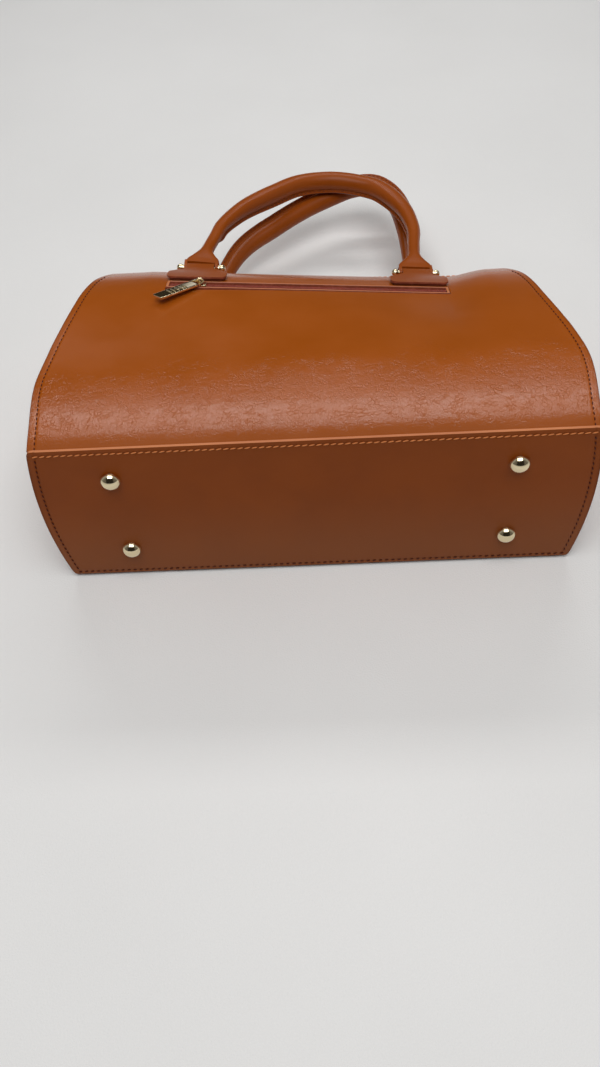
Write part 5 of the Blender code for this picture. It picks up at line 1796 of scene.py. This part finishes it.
def make_handles():
    make_handle("back", on_back, BACK_HANDLE_SHARES, BACK_HANDLE_DROP, BACK_HANDLE_TILT)
    make_handle("front", on_front, FRONT_HANDLE_SHARES, FRONT_HANDLE_DROP, FRONT_HANDLE_TILT)


def slider_blade():
    """The plan of a slider's blade: narrow at its tail, wide at its shoulders, notched between them."""
    shares = ((-0.5, 0.27), (-0.44, 0.37), (-0.12, 0.39), (0.16, 0.5), (0.4, 0.5), (0.5, 0.4), (0.5, 0.16))
    upper = [(x * SLIDER_LENGTH, y * SLIDER_WIDTH) for x, y in shares]
    return [*upper, (0.36 * SLIDER_LENGTH, 0.0), *((x, -y) for x, y in upper[::-1])]


def wire_mesh(points, radius, sides):
    """A round wire along a plane line of points."""
    rings = []
    flat = Vector((0, 1, 0))
    for index, spot in enumerate(points):
        before = points[max(index - 1, 0)]
        after = points[min(index + 1, len(points) - 1)]
        out = (after - before).cross(flat).normalized()
        rings.append([spot + (out * math.cos(t) + flat * math.sin(t)) * radius for t in ring_turns(sides)])
    return ringed_mesh("wire", [rings])


def bail_line():
    """The middle line of a slider's bail, in the plane of the zip and the lift."""
    reach = (BAIL_LENGTH - BAIL) / 2
    foot = SLIDER_BLADE / 2
    spring = SLIDER_BLADE + BAIL_HEIGHT - BAIL / 2 - reach
    line = [(reach, foot), *arc(reach, 0, 180, 24, (0.0, spring)), (-reach, foot)]
    return [Vector((x, 0, z)) for x, z in line]


def make_slider(prefix, frame, body):
    under = -LEATHER - TAPE - 2 * SEAM_GAP
    blade = [slider_blade()]
    rib = SLIDER_RIB / 2
    post = [(x * SLIDER_LENGTH, y) for x, y in ((0.1, 0), (0.25, rib), (0.36, 0), (0.25, -rib))]
    parts = [
        outline_mesh(blade, SLIDER_BLADE, SLIDER_ROUND, SLIDER_BLADE / 2),
        outline_mesh(blade, SLIDER_BLADE, SLIDER_ROUND, under - SLIDER_BLADE / 2),
        outline_mesh([post], SLIDER_BLADE - under, lift=(under + SLIDER_BLADE / 2) / 2),
        wire_mesh(bail_line(), BAIL / 2, 16),
    ]
    for side in (-1, 1):
        lip = [(x * SLIDER_LENGTH, side * y * SLIDER_WIDTH) for x, y in SLIDER_LIP_SHARES]
        parts.append(outline_mesh([lip], SLIDER_LIP, lift=SLIDER_LIP_LIFT))
    make_cast(f"{prefix}_slider_cast", f"{prefix}_slider", parts, frame, body)


def round_rectangle(start, end, half, corner, count, first=0):
    """A rectangle with round corners, from the corner whose arc starts at the angle first."""
    low = start + corner
    high = end - corner
    wide = half - corner
    middles = ((high, wide), (low, wide), (low, -wide), (high, -wide))
    found = []
    for quarter in range(4):
        angle = (first + 90 * quarter) % 360
        found += arc(corner, angle, angle + 90, count, middles[angle // 90])
    return found


def make_puller(prefix, matrix, body):
    """A bevelled plate with ribs across it and an eye for the bail."""
    start = -PULLER_BAR / 2
    end = PULLER_LENGTH - PULLER_BAR / 2
    eye_end = PULLER_BAR / 2 + PULLER_EYE
    eye = round_rectangle(PULLER_BAR / 2, eye_end, PULLER_EYE_WIDTH / 2, PULLER_EYE_CORNER, 4)
    plate = round_rectangle(start, end, PULLER_WIDTH / 2, PULLER_CORNER, 5, 90)
    parts = [outline_mesh([plate, eye], PULLER, PULLER_BEVEL)]
    first = (eye_end + end - PULLER_POINT) / 2 - (PULLER_RIBS - 1) / 2 * PULLER_RIB_SPACING
    wide = PULLER_RIB_WIDTH / 2
    long = PULLER_RIB_LENGTH / 2
    for index in range(PULLER_RIBS):
        x = first + index * PULLER_RIB_SPACING
        bar = [(x - wide, -long), (x + wide, -long), (x + wide, long), (x - wide, long)]
        parts.append(outline_mesh([bar], PULLER, PULLER_RIB_BEVEL, PULLER_RIB))
    make_cast(f"{prefix}_puller_plate", f"{prefix}_puller", parts, matrix, body)


def make_slider_and_puller(prefix, place, x, turn):
    frame = surface_frame(place, x, 0.0, 0.0)
    make_slider(prefix, frame, f"{prefix}_slider_body")
    make_puller(prefix, puller_frame(frame, turn), f"{prefix}_puller_body")


def shift_of_bag():
    """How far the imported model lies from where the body's own directions put it."""
    low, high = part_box("back_pin_left")
    return (low + high) / 2 - on_back(-TAB_SPACING / 2, PIN_HEIGHT, PIN_LIFT)


def refinish(node, material):
    """A CAD piece whose shape is right gets its fuller material."""
    item = frame["nodes"][node]
    item.data.materials.clear()
    item.data.materials.append(material)


def make_floor():
    half = FLOOR_HALF
    mesh = bpy.data.meshes.new("table_top")
    corners = [(-half, -half, 0), (half, -half, 0), (half, half, 0), (-half, half, 0)]
    mesh.from_pydata(corners, [], [(0, 1, 2, 3)])
    item = add_piece("table_top", mesh, [floor_material()])
    item.location.z = -FLOOR_GAP


def make_lamp(name, place, aim, size, power):
    light = bpy.data.lights.new(name, "AREA")
    light.shape = "RECTANGLE"
    light.size, light.size_y = size
    light.energy = power
    item = add_object(name, light)
    item.location = place
    item.rotation_euler = (Vector(aim) - Vector(place)).to_track_quat("-Z", "Y").to_euler()


def wall_share(tree, split, ahead, top, soft):
    """How much of a wall is seen in a direction: ahead is 1 behind the bag and -1 in front of it."""
    facing = remap(tree, split["Y"], 0.1 * ahead, 0.45 * ahead)
    return product(tree, facing, remap(tree, split["Z"], top, top + soft, 1.0, 0.0))


def make_world():
    """Even pale surroundings, with darker walls behind the bag and before it, and someone dark in front."""
    world = bpy.data.worlds.new("studio")
    bpy.context.scene.world = world
    world.use_nodes = True
    tree = world.node_tree
    shader = tree.nodes["Background"]
    direction = tree.nodes.new("ShaderNodeTexCoord").outputs["Generated"]
    split = add_node(tree, "ShaderNodeSeparateXYZ", {0: direction}).outputs
    apart = math_node(tree, "ABSOLUTE", split["X"])
    onlooker = remap(tree, apart, ONLOOKER_HALF, ONLOOKER_HALF + 0.12, 1.0, 0.0)
    front_wall = blend_colours(tree, onlooker, FRONT_WALL_COLOUR, ONLOOKER_COLOUR)
    before = wall_share(tree, split, -1, FRONT_WALL_TOP, 0.12)
    colour = blend_colours(tree, before, WORLD_COLOUR, front_wall)
    behind = wall_share(tree, split, 1, BACK_WALL_TOP, 0.1)
    tree.links.new(blend_colours(tree, behind, colour, BACK_WALL_COLOUR), shader.inputs["Color"])
    shader.inputs["Strength"].default_value = WORLD_STRENGTH


def make_camera():
    made = bpy.data.cameras.new("camera")
    made.sensor_width = SENSOR_WIDTH
    made.lens = LENS
    made.clip_start = NEAREST_SEEN
    yaw, pitch, roll = (math.radians(angle) for angle in CAMERA_TURN)
    level_ahead = Vector((-math.sin(yaw), math.cos(yaw), 0))
    level_right = Vector((math.cos(yaw), math.sin(yaw), 0))
    down = Vector((0, 0, -1))
    ahead = level_ahead * math.cos(pitch) + down * math.sin(pitch)
    level_up = level_ahead * math.sin(pitch) - down * math.cos(pitch)
    right = level_right * math.cos(roll) + level_up * math.sin(roll)
    up = level_up * math.cos(roll) - level_right * math.sin(roll)
    matrix = Matrix((right, up, -ahead)).transposed().to_4x4()
    matrix.translation = Vector(CAMERA_PLACE)
    item = add_object("camera", made)
    item.matrix_world = matrix
    bpy.context.scene.camera = item


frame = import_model()
bag_shift = shift_of_bag()
bpy.context.scene.view_settings.view_transform = "Standard"

grain_group = make_grain_group()
weave_group = make_weave_group()
handling_group = make_handling_group()
stitch_tree = repeat_tree("row_of_stitches", {"Length": STITCH, "Thread": THREAD}, stitch_shape)
tooth_sizes = {"Width": TOOTH_WIDTH, "Height": TOOTH_HEIGHT, "Wire": TOOTH_WIRE, "Side": 0.0, "Step": 0.0}
tooth_tree = repeat_tree("row_of_teeth", tooth_sizes, tooth_shape)

leather = leather_material(
    "panel_leather", (0.315, 0.069, 0.0035), (0.345, 0.077, 0.005), 0.22, 0.34, 0.00015
)
handle_leather = leather_material(
    "handle_leather", (0.26, 0.053, 0.0035), (0.30, 0.064, 0.005), 0.32, 0.18, 0.00014, 1000.0, 0.05
)
# The base's leather, darker than the panels' partly as its own colour and partly as painted shade, since the
# base faces away from the overhead light
base_leather = leather_material(
    "base_leather", (0.232, 0.048, 0.0025), (0.268, 0.057, 0.0035), 0.38, 0.13, 0.00014, 800.0
)
dark_edge = paint_material("painted_edge", (0.075, 0.012, 0.011), 0.42)
# Pale salmon of a raw edge, made paler still as a painted highlight on rims, bevels and lips
pale_edge_highlight = leather_material(
    "raw_edge_with_painted_highlight", (0.46, 0.145, 0.05), (0.56, 0.20, 0.075), 0.5, 0.3, 0.00015
)
# Dark edge paint of the tabs, also used as painted shade on the pocket lips' inner walls
cut_edge_and_shade = paint_material("cut_edge_and_shade", (0.22, 0.045, 0.018), 0.42)
light_thread = thread_material("tan_thread", (0.80, 0.27, 0.085))
dark_thread = thread_material("wine_thread", (0.085, 0.010, 0.005))
handle_thread = thread_material("handle_thread", (0.24, 0.05, 0.018))
tape_thread = thread_material("tape_thread", (0.24, 0.045, 0.035))
gold = metal_material("pale_gold", (0.82, 0.70, 0.46), 0.05)
steel = metal_material("plain_steel", (0.55, 0.55, 0.56), 0.30)
tape_cloth = cloth_material("tape_cloth", (0.15, 0.013, 0.004), 0.45 * MM, 0.85, 0.0002)
coil_nylon = moulded_material("coil_nylon", (0.25, 0.042, 0.025), 0.34)
lining_cloth = cloth_material("lining_cloth", (0.30, 0.185, 0.10), 0.5 * MM, 0.88, 0.00015)
board = board_material("fibreboard", (0.36, 0.26, 0.16))
rope = cloth_material("core_rope", (0.62, 0.55, 0.42), 0.6 * MM, 0.92, 0.0002)

make_back_panel()
make_front_panel()
make_base()
make_end_panel(-1, "left_end_panel")
make_end_panel(1, "right_end_panel")
make_feet()
make_lining()
make_pouch()
make_pocket_welt()
make_zip("pocket", pocket_place, POCKET_ZIP_LENGTH, TAPE_WIDTH, ("upper", "lower"), False)
make_zip("top", on_top, TOP_ZIP_LENGTH, TOP_TAPE_WIDTH, ("back", "front"), True)
make_zip_tabs()
make_slider_and_puller("pocket", pocket_place, POCKET_SLIDER_X, math.pi + POCKET_PULLER_TURN)
make_slider_and_puller("top", on_top, TOP_SLIDER_X, 0.0)
make_tabs()
make_handles()
make_seams()
refinish("base_board", board)
for place, _, _ in foot_places():
    refinish(f"foot_washer_{place}", steel)

make_floor()
make_world()
make_lamp("back_softbox", BACK_LAMP_PLACE, LAMP_AIM, BACK_LAMP_SIZE, BACK_LAMP_POWER)
make_lamp("overhead_softbox", TOP_LAMP_PLACE, LAMP_AIM, TOP_LAMP_SIZE, TOP_LAMP_POWER)
make_camera()
